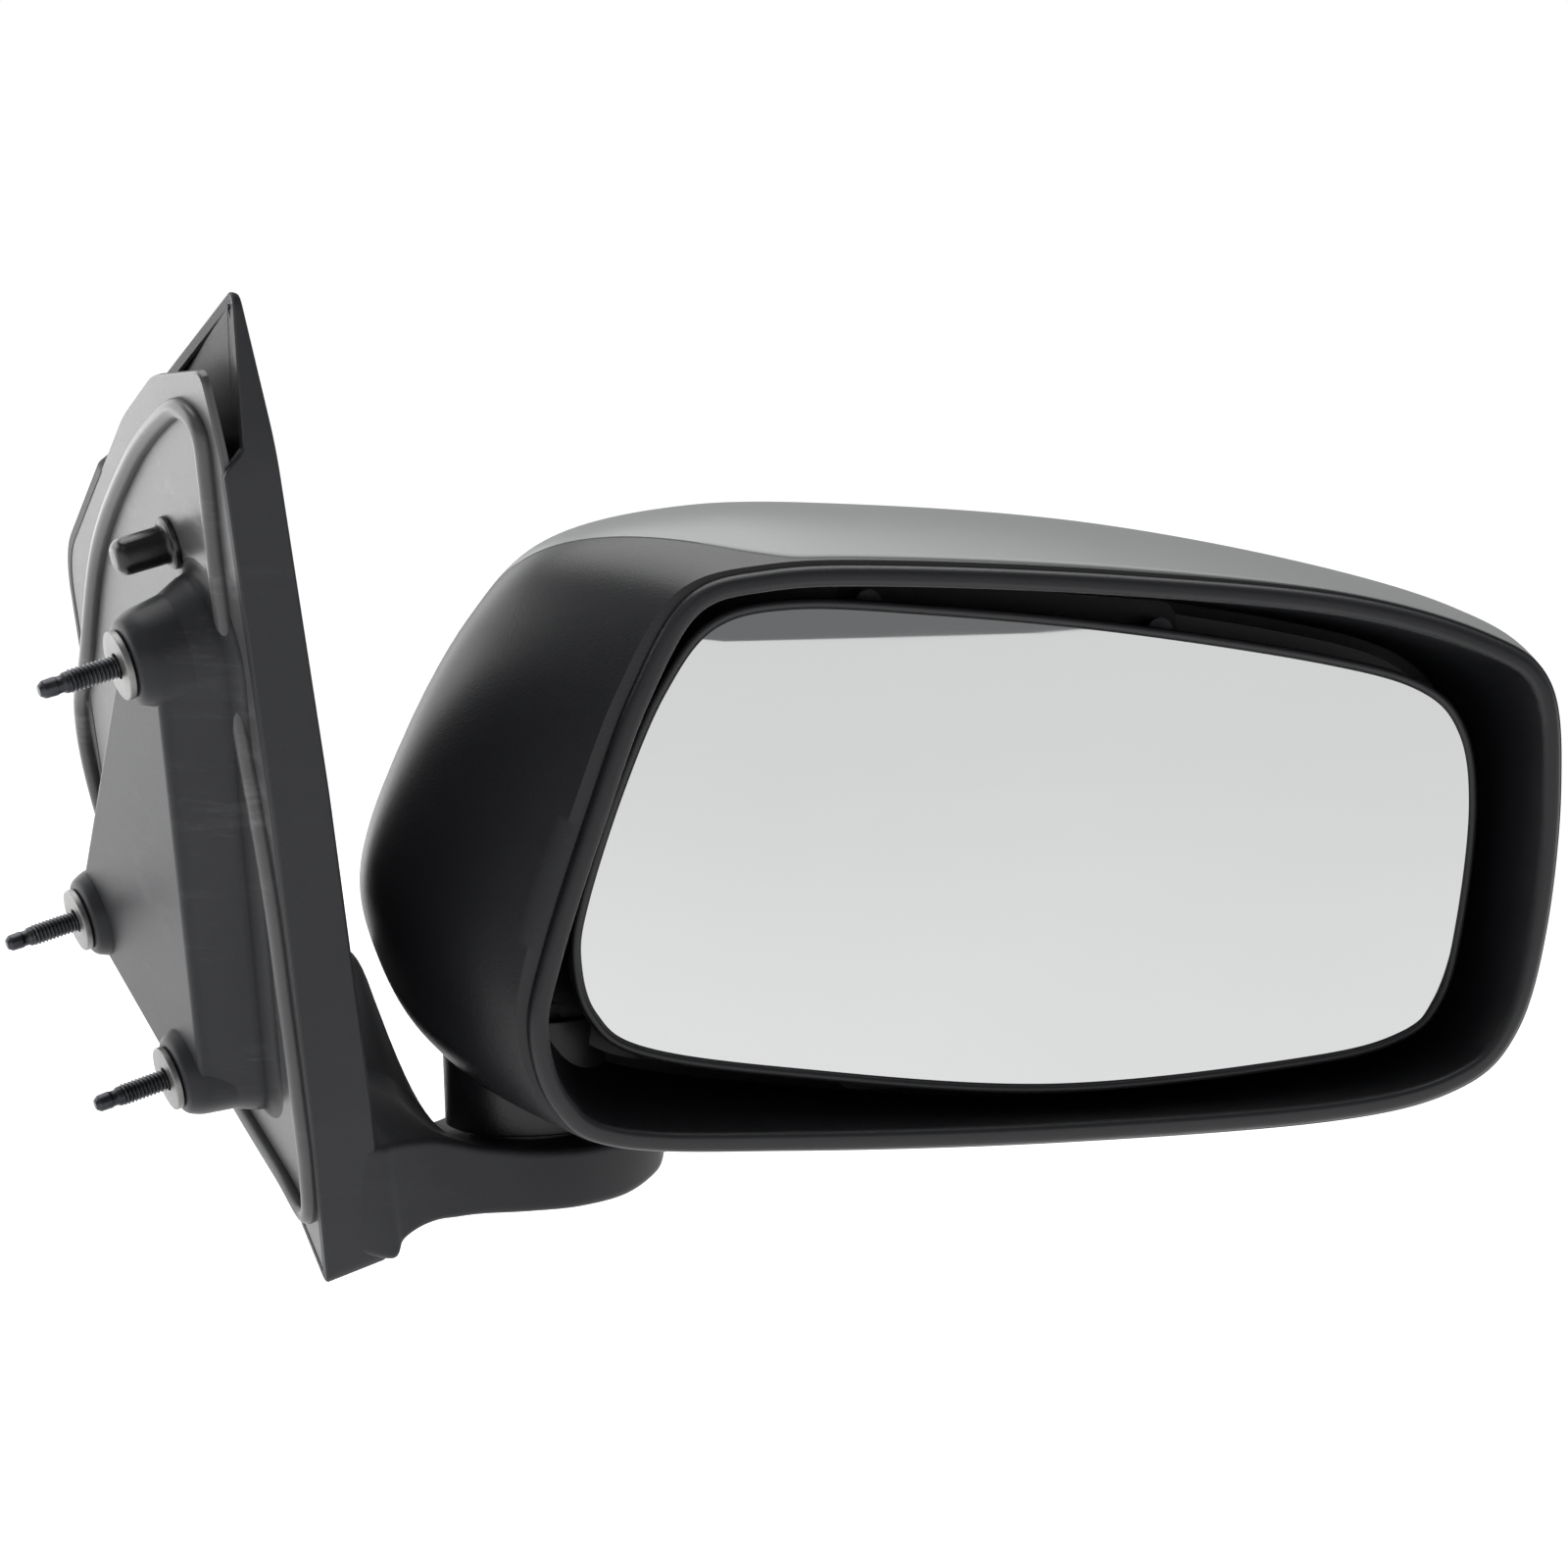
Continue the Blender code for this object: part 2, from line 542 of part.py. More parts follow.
def make_gasket():
    outer = rounded_polygon(inset_corners(sheet_corners, fit), 4)
    base = pedestal_loop(pedestal_radius + pedestal_draft + 0.0005)
    rings = [plate_at(outer, sheet_x), plate_at(outer, sheet_x + sheet_thickness)]
    sheet = make_piece("base_gasket", *skin(rings), rubber, base_frame)
    rings = [plate_at(base, sheet_x - 0.01), plate_at(base, sheet_x + 0.01)]
    boolean(sheet, make_piece("gasket_window", *skin(rings), rubber, base_frame), "DIFFERENCE")
    y, z = peg_place
    verts, faces = turned(rod_profile([(peg_radius - 0.0012, 0.0), (peg_radius - 0.0012, 0.02)]), 16)
    hole = make_piece("peg_hole", turn_to(verts, (-1, 0, 0), (sheet_x + 0.01, y, z)), faces, rubber, base_frame)
    boolean(sheet, hole, "DIFFERENCE")


def make_studs():
    face = boss_height + gap
    washer = turned(ring_profile(stud_radius + gap, washer_radius, face, face + washer_thickness), 24)
    steps = [(stud_radius - 0.0004, -stud_root), (stud_radius, -stud_root + 0.0004),
             (stud_radius, stud_reach - 0.0045), (stud_radius - 0.0006, stud_reach - 0.004),
             (stud_radius - 0.0008, stud_reach - 0.0008), (stud_radius - 0.0013, stud_reach)]
    stud = turned(rod_profile(steps), 20)
    for name, (y, z) in stud_places.items():
        for kind, (verts, faces), mat in (("washer", washer, zinc), ("stud", stud, black_steel)):
            make_piece(f"{kind}_{name}", turn_to(verts, (-1, 0, 0), (0, 0, 0)), faces, mat, base_frame, (0, y, z))


def make_cover_screws():
    end = sail_depth - sheet_thickness - 0.0045
    steps = [(cover_head_radius, 0.0002), (cover_head_radius, cover_head_height), (cover_screw_radius, cover_head_height),
             (cover_screw_radius, end - 0.001), (0.0008, end)]
    for name, (y, z) in zip(("upper", "front"), cover_screws):
        make_piece("cover_screw_" + name, *rod(steps, (1, 0, 0), (0, 0, 0)), black_steel, base_frame,
                   (plate_front, y, z))


def make_peg():
    y, z = peg_place
    neck = peg_radius - 0.0012 - gap
    low = -(sheet_thickness + gap - 0.0003)
    steps = [(neck, low), (neck, gap), (peg_radius + 0.002, gap), (peg_radius + 0.002, 0.0015),
             (peg_radius, 0.0022), (peg_radius, peg_reach - 0.0025), (peg_radius - 0.001, peg_reach - 0.0008),
             (peg_radius - 0.0028, peg_reach)]
    verts, faces = turned(rod_profile(steps), 20)
    make_piece("locating_peg", turn_to(verts, (-1, 0, 0), (0, 0, 0)), faces, nylon, base_frame, (sheet_x, y, z))


# ---- fold pivot ----------------------------------------------------------------------------
spring_seat = hub_foot + 0.012
retainer_low = shaft_top - 0.0060


def make_fold_pivot():
    place = (fold_x, fold_y, 0)
    shaft = [(shaft_radius - 0.0006, shaft_bottom), (shaft_radius, shaft_bottom + 0.0006),
             (shaft_radius, shaft_top - 0.0006), (shaft_radius - 0.0006, shaft_top)]
    make_piece("pivot_shaft", *turned(rod_profile(shaft), 24), zinc, None, place)
    low = platform_top - 0.0007 + gap
    plate = ring_profile(shaft_radius + gap, hub_radius - 0.002, low, hub_foot - gap)
    make_piece("detent_ring", *turned(plate, 36), zinc, None, place)
    keeper = ring_profile(shaft_radius + gap, spring_pocket - fit, retainer_low, retainer_low + 0.0022)
    make_piece("spring_retainer", *turned(keeper, 24), zinc, None, place)
    clip = ring_profile(shaft_radius + gap, 0.0092, retainer_low + 0.0022 + gap, retainer_low + 0.0040)
    make_piece("shaft_clip", *turned(clip, 24), spring_steel, None, place)
    washer = ring_profile(shaft_radius + gap, spring_pocket - fit, spring_seat + gap, spring_seat + gap + 0.0015)
    make_piece("thrust_washer", *turned(washer, 24), acetal, head_frame_empty)
    low, high = spring_seat + 2 * gap + 0.0015, retainer_low - gap
    mean = 0.0100
    wire = spring_wire / 2
    steps = int(spring_turns * 10)
    rings = []
    for k in range(steps + 1):
        turn = 2 * pi * spring_turns * k / steps
        climb = low + wire + (high - low - 2 * wire) * k / steps
        out = np.array([cos(turn), sin(turn), 0])
        centre = out * mean + np.array([0, 0, climb])
        rings.append([tuple(centre + out * wire * cos(a) + np.array([0, 0, wire * sin(a)]))
                      for a in np.arange(6) * pi / 3])
    make_piece("fold_spring", *skin(rings), spring_steel, None, place)


# ---- head ----------------------------------------------------------------------------------
glass_middle = (glass_loop.max(0) + glass_loop.min(0)) / 2
gimbal_place = (float(glass_middle[0]), rim_plane + 0.0355, float(glass_middle[1]))
gimbal_radius = 0.019
gimbal_wall = 0.004
gimbal_thickness = 0.006
trunnion_radius = 0.0022
ear_gap = 0.0010
ear_thickness = 0.004
ear_width = 0.010
lug_reach = 0.015
lug_width = 0.014
lug_thickness = 0.003
screw_radius = 0.0019
screw_spread = 0.040             # screws left and right of the gimbal
frame_thickness = 0.004


def screw_places():
    """Four screws near the top and bottom walls of the recess, either side of the gimbal."""
    inner = skirt_row(0.0)[:, ::2]
    result = []
    for side in (-1, 1):
        x = gimbal_place[0] + side * screw_spread
        for wall in (1, -1):
            half = inner[np.sign(inner[:, 1] - gimbal_place[2]) == wall]
            edge = half[np.argmin(abs(half[:, 0] - x))][1]
            result.append((x, edge - wall * lug_reach * 0.55, edge, wall))
    return result


def make_rear_housing():
    parting = parting_t()
    outer = shell_rows(parting, np.full(rib_count, lip_t), 6)
    lip = [rim_row(0.0002, rim_round), rim_row(rim_round * 0.45, rim_round * 0.3),
           rim_row(rim_width * 0.45, 0.0), rim_row(rim_width - 0.0012, 0.0004),
           rim_row(rim_width, 0.002)]
    skirt = [skirt_row(0.0), skirt_row(recess_wall), rim_row(rim_width - recess_wall + 0.0002, 0.008)]
    start = np.full(rib_count, 0.085)
    inner = shell_rows(np.minimum(start, parting - 0.003), parting, 5, shell_wall)
    rings = outer + lip + skirt + inner
    housing = make_piece("rear_housing", *skin(rings, loop_rings=True), rim_plastic, head_frame_empty)
    end = rim_plane + recess_depth
    lugs, holes = [], []
    for x, z, edge, wall in screw_places():
        ends = sorted((edge + wall * 0.0010, edge - wall * lug_reach))
        lugs.append(box((x - lug_width / 2, end - lug_thickness, ends[0]),
                        (x + lug_width / 2, end - 0.0002, ends[1])))
        holes.append(rod([(screw_radius + gap, -0.01), (screw_radius + gap, 0.01)], (0, 1, 0), (x, end, z)))
    collar = collar_bore + shell_wall
    collar_steps = [(collar, hub_foot - 0.0004), (collar, hub_foot + collar_height)]
    lugs.append(turned(rod_profile(collar_steps), 36))
    boolean(housing, make_piece("lugs", *together(lugs), rim_plastic, head_frame_empty), "UNION")
    opening = turned(rod_profile([(collar_bore, -0.090), (collar_bore, shaft_top + 0.002)]), 36)
    boolean(housing, make_piece("hub_mouth", *opening, rim_plastic, head_frame_empty), "DIFFERENCE")
    boolean(housing, make_piece("lug_holes", *together(holes), rim_plastic, head_frame_empty), "DIFFERENCE",
            "MANIFOLD")


def make_front_cap():
    seam = 0.020                  # part of t left open along the housing's edge
    start = parting_t() + seam
    steps = [0.0, 0.15, 0.32, 0.48, 0.63, 0.78, 0.91]
    outer = [shell_point(start + (1 - start) * s) for s in steps]
    inner = [shell_point(start + (1 - start) * s, shell_wall) for s in steps]
    poles = (shell_point(1.0)[0], shell_point(1.0, shell_wall)[0])
    verts, faces = skin(outer[::-1] + inner, poles)
    make_piece("front_cap", verts, faces, primer_grey, head_frame_empty)


def make_head_frame():
    near = rim_plane + recess_depth + gap
    far = near + frame_thickness
    screws = screw_places()
    corners = [(screws[k][0] + sx * 0.007, screws[k][1] + sz * 0.007, 0.006)
               for k, sx, sz in ((1, -1, -1), (3, 1, -1), (2, 1, 1), (0, -1, 1))]
    loop = rounded_polygon(corners, 3)
    rings = [np.stack([loop[:, 0], np.full(len(loop), y), loop[:, 1]], 1) for y in (near, far)]
    frame = make_piece("head_frame", *skin(rings), nylon, head_frame_empty)
    top = hub_foot + hub_height
    bore = shaft_radius + gap
    hub_profile = [(bore, hub_foot), (hub_radius, hub_foot), (hub_radius, top), (spring_pocket, top),
                   (spring_pocket, spring_seat), (bore, spring_seat)]
    beam_low = (hub_radius - 0.0025, far - 0.0005, hub_foot + collar_height + 0.001)
    beam_high = (screws[0][0] + 0.012, far + 0.010, top - 0.0005)
    yokes = []
    for side in (-1, 1):
        ear_x = gimbal_place[0] + side * (gimbal_radius + ear_gap + ear_thickness / 2)
        yokes.append(box(
            (ear_x - ear_thickness / 2, gimbal_place[1] - ear_width / 2, gimbal_place[2] - ear_width / 2),
            (ear_x + ear_thickness / 2, far - 0.001, gimbal_place[2] + ear_width / 2)))
    for name, shape in (("hub", turned(hub_profile, 36)), ("beam", box(beam_low, beam_high)),
                        ("yokes", together(yokes))):
        boolean(frame, make_piece(name, *shape, nylon, head_frame_empty), "UNION")
    half = gimbal_radius + ear_gap + ear_thickness + 0.01
    tilt_steps = [(trunnion_radius + gap, -half), (trunnion_radius + gap, half)]
    screw_steps = [(screw_radius + gap, -0.02), (screw_radius + gap, 0.02)]
    holes = [rod(screw_steps, (0, 1, 0), (x, near, z)) for x, z, _, _ in screws]
    holes.append(rod(tilt_steps, (1, 0, 0), gimbal_place))
    window = (ear_width * 0.85, gimbal_radius + ear_gap + ear_thickness + 0.006)
    holes.append(box((gimbal_place[0] - window[0], near - 0.001, gimbal_place[2] - window[1]),
                     (gimbal_place[0] + window[0], far + 0.001, gimbal_place[2] + window[1])))
    boolean(frame, make_piece("frame_holes", *together(holes), nylon, head_frame_empty), "DIFFERENCE")
    head_face = lug_thickness + 2 * gap
    steps = [(0.0036, -head_face - 0.0022), (0.0036, -head_face), (screw_radius, -head_face),
             (screw_radius, 0.0070), (0.0008, 0.0090)]
    for number, (x, z, _, _) in enumerate(screws, 1):
        make_piece(f"housing_screw_{number}", *rod(steps, (0, 1, 0), (0, 0, 0)), black_steel,
                   head_frame_empty, (x, near, z))


def make_gimbal():
    ring = turned(ring_profile(gimbal_radius - gimbal_wall, gimbal_radius,
                               -gimbal_thickness / 2, gimbal_thickness / 2), 36)
    verts = turn_to(ring[0], (0, 1, 0), (0, 0, 0))
    gimbal = make_piece("gimbal_ring", verts, ring[1], acetal, head_frame_empty, gimbal_place)
    reach = ear_gap + ear_thickness - 0.0005
    steps = [(trunnion_radius, gimbal_radius - 0.001), (trunnion_radius, gimbal_radius + reach)]
    pins = together([rod(steps, axis, (0, 0, 0)) for axis in ((-1, 0, 0), (1, 0, 0), (0, 0, -1), (0, 0, 1))])
    boolean(gimbal, make_piece("trunnions", *pins, acetal, head_frame_empty, gimbal_place), "UNION")


def make_friction_washers():
    low = gimbal_radius + gap
    shape = ring_profile(trunnion_radius + gap, trunnion_radius + 0.0022, low, low + ear_gap - 2 * gap)
    for name, axis in (("tilt_inner", (-1, 0, 0)), ("tilt_outer", (1, 0, 0)),
                       ("pan_lower", (0, 0, -1)), ("pan_upper", (0, 0, 1))):
        verts, faces = turned(shape, 16)
        make_piece("washer_" + name, turn_to(verts, axis, (0, 0, 0)), faces, spring_steel,
                   head_frame_empty, gimbal_place)


# ---- glass ---------------------------------------------------------------------------------
def glass_bulge(x, z):
    """How far the sphere stands behind its place at the ends of the glass, as a depth."""
    half = (glass_loop[:, 0].max() - glass_loop[:, 0].min()) / 2
    return (half**2 - (x - glass_middle[0]) ** 2 - (z - glass_middle[1]) ** 2) / (2 * glass_radius)


def glass_row(scale, inwards, depth):
    """Ring of the glass outline, drawn in by a distance and shrunk towards its middle."""
    loop = inset(glass_loop, inwards)[::2]
    loop = glass_middle + (loop - glass_middle) * scale
    y = rim_plane + glass_depth + depth - glass_bulge(loop[:, 0], loop[:, 1])
    return np.stack([loop[:, 0], y, loop[:, 1]], 1) - np.array(gimbal_place)


def domed_slab(name, inwards, near, far, mat):
    scales = [1.0, 0.75, 0.5, 0.25]
    rings = [glass_row(s, inwards, near) for s in reversed(scales)]
    rings += [glass_row(s, inwards, far) for s in scales]
    return make_piece(name, *skin(rings), mat, head_frame_empty, gimbal_place)


def make_glass():
    seat = 0.0006                 # the glass sits this far below the holder's edge
    glass_back = seat + glass_thickness
    pad_back = glass_back + gap + pad_thickness
    floor = pad_back + gap
    domed_slab("mirror_glass", holder_lip, seat, glass_back, silver)
    domed_slab("glass_pad", holder_lip + 0.004, glass_back + gap, pad_back, foam)
    scales = [1.0, 0.75, 0.5, 0.25]
    pocket = [glass_row(s, holder_lip - gap, floor) for s in reversed(scales)]
    back = [glass_row(s, 0.0015, floor + holder_floor) for s in scales]
    edge = [glass_row(1.0, holder_lip - gap, 0.0003), glass_row(1.0, holder_lip * 0.5, 0.0),
            glass_row(1.0, 0.0003, 0.0006), glass_row(1.0, 0.0, floor)]
    holder = make_piece("glass_holder", *skin(pocket + edge + back), rim_plastic, head_frame_empty,
                        gimbal_place)
    middle_depth = glass_depth + floor - float(glass_bulge(*glass_middle))
    surface = rim_plane + middle_depth + 0.0014 - gimbal_place[1]
    ears = []
    for side in (-1, 1):
        ear_z = side * (gimbal_radius + ear_gap + ear_thickness / 2)
        low = (-ear_width / 2, surface, ear_z - ear_thickness / 2)
        high = (ear_width / 2, ear_width / 2, ear_z + ear_thickness / 2)
        ears.append(box(low, high))
    boolean(holder, make_piece("pan_ears", *together(ears), rim_plastic, head_frame_empty, gimbal_place), "UNION")
    half = gimbal_radius + ear_gap + ear_thickness + 0.01
    bore = turned(rod_profile([(trunnion_radius + gap, -half), (trunnion_radius + gap, half)]), 16)
    boolean(holder, make_piece("pan_bore", *bore, rim_plastic, head_frame_empty, gimbal_place), "DIFFERENCE")


make_base_cover()
make_base_bracket()
make_gasket()
make_studs()
make_cover_screws()
make_peg()
make_fold_pivot()
make_rear_housing()
make_front_cap()
make_head_frame()
make_gimbal()
make_friction_washers()
make_glass()
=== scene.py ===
# Looks of a pickup's right-hand door mirror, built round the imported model.
# World frame: +X away from the door, +Y forward, +Z up, metres, origin on the door seat.
import json
from math import radians, sin, cos, tan, pi

import bmesh
import bpy
import numpy as np
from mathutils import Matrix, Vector


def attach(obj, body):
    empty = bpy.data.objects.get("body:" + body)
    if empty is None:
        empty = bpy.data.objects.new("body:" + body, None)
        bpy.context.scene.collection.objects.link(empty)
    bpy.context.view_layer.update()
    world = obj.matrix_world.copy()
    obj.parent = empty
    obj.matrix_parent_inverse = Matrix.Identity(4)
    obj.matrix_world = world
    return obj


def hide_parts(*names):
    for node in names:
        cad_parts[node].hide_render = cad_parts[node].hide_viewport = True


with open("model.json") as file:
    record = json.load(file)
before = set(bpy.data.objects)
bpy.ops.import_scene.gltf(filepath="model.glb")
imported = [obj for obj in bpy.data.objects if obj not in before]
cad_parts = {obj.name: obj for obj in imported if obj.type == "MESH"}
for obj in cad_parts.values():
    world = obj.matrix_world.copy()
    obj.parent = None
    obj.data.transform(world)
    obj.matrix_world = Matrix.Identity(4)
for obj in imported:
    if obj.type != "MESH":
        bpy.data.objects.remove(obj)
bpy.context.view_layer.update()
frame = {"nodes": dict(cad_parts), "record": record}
print("frame loaded:", len(frame["nodes"]), "nodes")

doorLean = radians(15)
toeIn = radians(10)
foldAxis = (0.105, 0.005)


def headToWorld(p):
    # the head's frame stands on the fold axis, turned clockwise by the toe-in
    x, y, z = p[..., 0], p[..., 1], p[..., 2]
    return np.stack([foldAxis[0] + x * cos(toeIn) + y * sin(toeIn),
                     foldAxis[1] - x * sin(toeIn) + y * cos(toeIn), z], -1)


def baseToWorld(p):
    # the base's frame leans outwards with the door glass, about the Y axis
    x, y, z = p[..., 0], p[..., 1], p[..., 2]
    return np.stack([x * cos(doorLean) - z * sin(doorLean), y, x * sin(doorLean) + z * cos(doorLean)], -1)


class Wire:
    # a socket that can be used in sums
    def __init__(self, paint, socket):
        self.paint, self.socket = paint, socket

    def join(self, operation, first, second):
        return self.paint.node("ShaderNodeMath", {"operation": operation}, {0: first, 1: second})

    def __add__(self, other):
        return self.join("ADD", self, other)

    def __radd__(self, other):
        return self.join("ADD", other, self)

    def __sub__(self, other):
        return self.join("SUBTRACT", self, other)

    def __rsub__(self, other):
        return self.join("SUBTRACT", other, self)

    def __mul__(self, other):
        return self.join("MULTIPLY", self, other)

    def __rmul__(self, other):
        return self.join("MULTIPLY", other, self)


class Paint:
    # one material with a Principled shader
    def __init__(self, name, **fixed):
        self.material = bpy.data.materials.new(name)
        self.material.use_nodes = True
        self.tree = self.material.node_tree
        self.shader = self.tree.nodes["Principled BSDF"]
        self.feed(self.shader, {key.replace("_", " "): value for key, value in fixed.items()})
        self.place = self.node("ShaderNodeTexCoord", output="Object")

    def feed(self, node, inputs):
        for key, value in inputs.items():
            if isinstance(value, Wire):
                self.tree.links.new(value.socket, node.inputs[key])
            else:
                node.inputs[key].default_value = value

    def node(self, kind, settings=None, inputs=None, output=0):
        made = self.tree.nodes.new(kind)
        for key, value in (settings or {}).items():
            setattr(made, key, value)
        self.feed(made, inputs or {})
        return Wire(self, made.outputs[output])

    def noise(self, scale, detail=3.0, rough=0.5, stretch=None):
        place = self.place
        if stretch:
            scales, turns = stretch
            place = self.node("ShaderNodeMapping", None, {"Vector": place, "Rotation": turns, "Scale": scales})
        return self.node("ShaderNodeTexNoise", None,
                         {"Vector": place, "Scale": scale, "Detail": detail, "Roughness": rough})

    def ramp(self, value, low, high):
        return self.node("ShaderNodeMapRange", {"clamp": True}, {0: value, 1: low, 2: high, 3: 0.0, 4: 1.0})

    def mix(self, mask, first, second):
        # a plain colour gets its fourth number here
        first, second = ((*c, 1) if isinstance(c, tuple) else c for c in (first, second))
        return self.node("ShaderNodeMix", {"data_type": "RGBA"}, {0: mask, 6: first, 7: second}, output=2)

    def bump(self, height, distance, strength=1.0):
        return self.node("ShaderNodeBump", None, {"Height": height, "Distance": distance, "Strength": strength})

    def finish(self, **wires):
        self.feed(self.shader, {key.replace("_", " "): value for key, value in wires.items()})
        return self.material


def mouldedPlastic(name, dark, light, rough, grain, depth, scuffs=0.0, scuffColour=(0.16, 0.16, 0.165),
                   gloss=0.5):
    # fine moulded grain, a slow drift of tone, and rubbed streaks where scuffs is above 0
    paint = Paint(name, Specular_IOR_Level=gloss)
    cloud = paint.noise(16, 4, 0.6)
    pits = paint.noise(grain, 2, 0.6)
    streaks = paint.noise(60, 6, 0.7, ((0.35, 1.0, 2.2), (0.5, 0.3, 0.0)))
    blotches = paint.noise(22, 5, 0.65)
    rub = paint.ramp(streaks, 0.52, 0.74) * paint.ramp(blotches, 0.45, 0.65)
    colour = paint.mix(paint.ramp(cloud, 0.3, 0.7), dark, light)
    colour = paint.mix(rub * scuffs, colour, scuffColour)
    worn = rough + (cloud - 0.5) * 0.10 + (pits - 0.5) * 0.08 + rub * 0.1 * scuffs
    return paint.finish(Base_Color=colour, Roughness=worn, Normal=paint.bump(pits + 0.5 * rub * scuffs, depth))


def primerCoat(name):
    # satin grey primer with a slight orange peel and fine dust
    paint = Paint(name, Specular_IOR_Level=0.5, Coat_Roughness=0.32)
    peel = paint.noise(420, 2, 0.45)
    dust = paint.noise(2600, 2, 0.5)
    drift = paint.noise(9, 3, 0.5)
    colour = paint.mix(paint.ramp(drift, 0.3, 0.7), (0.235, 0.243, 0.240), (0.262, 0.268, 0.262))
    colour = paint.mix(paint.ramp(dust, 0.60, 0.75) * 0.25, colour, (0.40, 0.41, 0.40))
    return paint.finish(Base_Color=colour, Roughness=0.36 + (drift - 0.5) * 0.08 + (dust - 0.5) * 0.05,
                        Coat_Weight=0.10 + (drift - 0.5) * 0.05, Normal=paint.bump(peel, 0.00003, 0.6))


def plainMetal(name, dark, light, rough, lay=(1, 1, 1), depth=0.00002):
    # worn metal: patches of tone and roughness under fine lines
    paint = Paint(name, Metallic=1.0)
    lines = paint.noise(900, 3, 0.6, (lay, (0, 0, 0)))
    patches = paint.noise(160, 4, 0.6)
    colour = paint.mix(paint.ramp(patches, 0.35, 0.7), dark, light)
    return paint.finish(Base_Color=colour, Roughness=rough + (patches - 0.5) * 0.2 + (lines - 0.5) * 0.1,
                        Normal=paint.bump(lines, depth, 0.7))


def mirrorSilver(name):
    # silvered glass: almost perfect, with a trace of haze
    paint = Paint(name, Metallic=1.0)
    haze = paint.noise(12, 5, 0.6)
    wave = paint.noise(6, 1, 0.4)
    colour = paint.mix(paint.ramp(haze, 0.35, 0.75), (0.605, 0.607, 0.607), (0.617, 0.619, 0.619))
    return paint.finish(Base_Color=colour, Roughness=0.012 + paint.ramp(haze, 0.5, 0.9) * 0.02,
                        Normal=paint.bump(wave, 0.00002, 0.3))


def foamPad(name):
    # open foam: dark cells with paler walls
    paint = Paint(name)
    cells = paint.node("ShaderNodeTexVoronoi", None, {"Vector": paint.place, "Scale": 1800.0})
    colour = paint.mix(paint.ramp(cells, 0.1, 0.6), (0.10, 0.10, 0.105), (0.20, 0.20, 0.21))
    return paint.finish(Base_Color=colour, Roughness=0.85 + cells * 0.1, Normal=paint.bump(cells, 0.0001))


finishes = {
    "black_textured_plastic": mouldedPlastic("blackGrain", (0.0125, 0.0128, 0.0150), (0.0165, 0.0170, 0.0195),
                                             0.50, 1500, 0.00006, 0.06, gloss=0.30),
    "black_housing_plastic": mouldedPlastic("blackHousing", (0.0065, 0.0068, 0.0085), (0.009, 0.0093, 0.0115),
                                            0.40, 1700, 0.00005, 0.03),
    "grey_primer": primerCoat("greyPrimer"),
    "black_rubber": mouldedPlastic("sheetRubber", (0.045, 0.045, 0.047), (0.060, 0.060, 0.062), 0.34, 900,
                                   0.00002, 0.9, (0.20, 0.20, 0.205)),
    "nylon": mouldedPlastic("filledNylon", (0.013, 0.0135, 0.0155), (0.021, 0.0215, 0.024), 0.44, 1300,
                            0.00003, 0.75, (0.10, 0.10, 0.105), 0.25),
    "zinc_plated_steel": plainMetal("zincPlate", (0.20, 0.20, 0.20), (0.28, 0.28, 0.27), 0.46),
    "black_steel": plainMetal("blackSteel", (0.035, 0.036, 0.040), (0.075, 0.076, 0.082), 0.36),
    "spring_steel": plainMetal("springSteel", (0.25, 0.25, 0.26), (0.40, 0.40, 0.41), 0.30),
    "mirror_silver": mirrorSilver("mirrorSilver"),
    "adhesive_foam": foamPad("foam"),
    "white_acetal": mouldedPlastic("acetal", (0.62, 0.62, 0.60), (0.72, 0.72, 0.70), 0.45, 900, 0.00002)}
pegPlastic = mouldedPlastic("pegPlastic", (0.006, 0.006, 0.007), (0.010, 0.010, 0.012), 0.30, 1200, 0.00002)
# painted shade: a darker, rougher copy of the housing's black plastic, for the wall deep in the recess behind
# the glass
paintedShadeRecessBlack = mouldedPlastic("paintedShadeRecessBlack", (0.004, 0.0042, 0.005), (0.006, 0.0063, 0.0075), 0.45, 1700,
                             0.00004)

for entry in frame["record"]["subparts"]:
    node = frame["nodes"][entry["node"]]
    node.data.materials.clear()
    node.data.materials.append(finishes[entry["material_slot"]])
print("materials done")


def gridFaces(rows, cols, wrapRows, wrapCols):
    # quads between neighbours of a grid whose points are numbered row by row
    r = np.arange(rows if wrapRows else rows - 1)[:, None]
    c = np.arange(cols if wrapCols else cols - 1)[None, :]
    below, right = (r + 1) % rows, (c + 1) % cols
    return np.stack([r * cols + c, r * cols + right, below * cols + right, below * cols + c], -1).reshape(-1, 4)


def surface(name, grids, material, body, replaced=(), sharp=30):
    # each grid is (points, wrapRows, wrapCols); rows drawn in to one point close as a pole
    verts, faces, start = [], [], 0
    for points, wrapRows, wrapCols in grids:
        rows, cols = points.shape[:2]
        verts.append(points.reshape(-1, 3))
        faces.append(gridFaces(rows, cols, wrapRows, wrapCols) + start)
        start += rows * cols
    mesh = bpy.data.meshes.new(name)
    mesh.from_pydata(np.concatenate(verts).tolist(), [], np.concatenate(faces).tolist())
    work = bmesh.new()
    work.from_mesh(mesh)
    bmesh.ops.remove_doubles(work, verts=work.verts, dist=2e-6)
    bmesh.ops.recalc_face_normals(work, faces=work.faces)
    work.to_mesh(mesh)
    work.free()
    mesh.materials.append(material)
    mesh.shade_smooth()
    mesh.set_sharp_from_angle(angle=radians(sharp))
    piece = bpy.data.objects.new(name, mesh)
    bpy.context.scene.collection.objects.link(piece)
    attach(piece, body)
    if replaced:
        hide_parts(*replaced)
    return piece


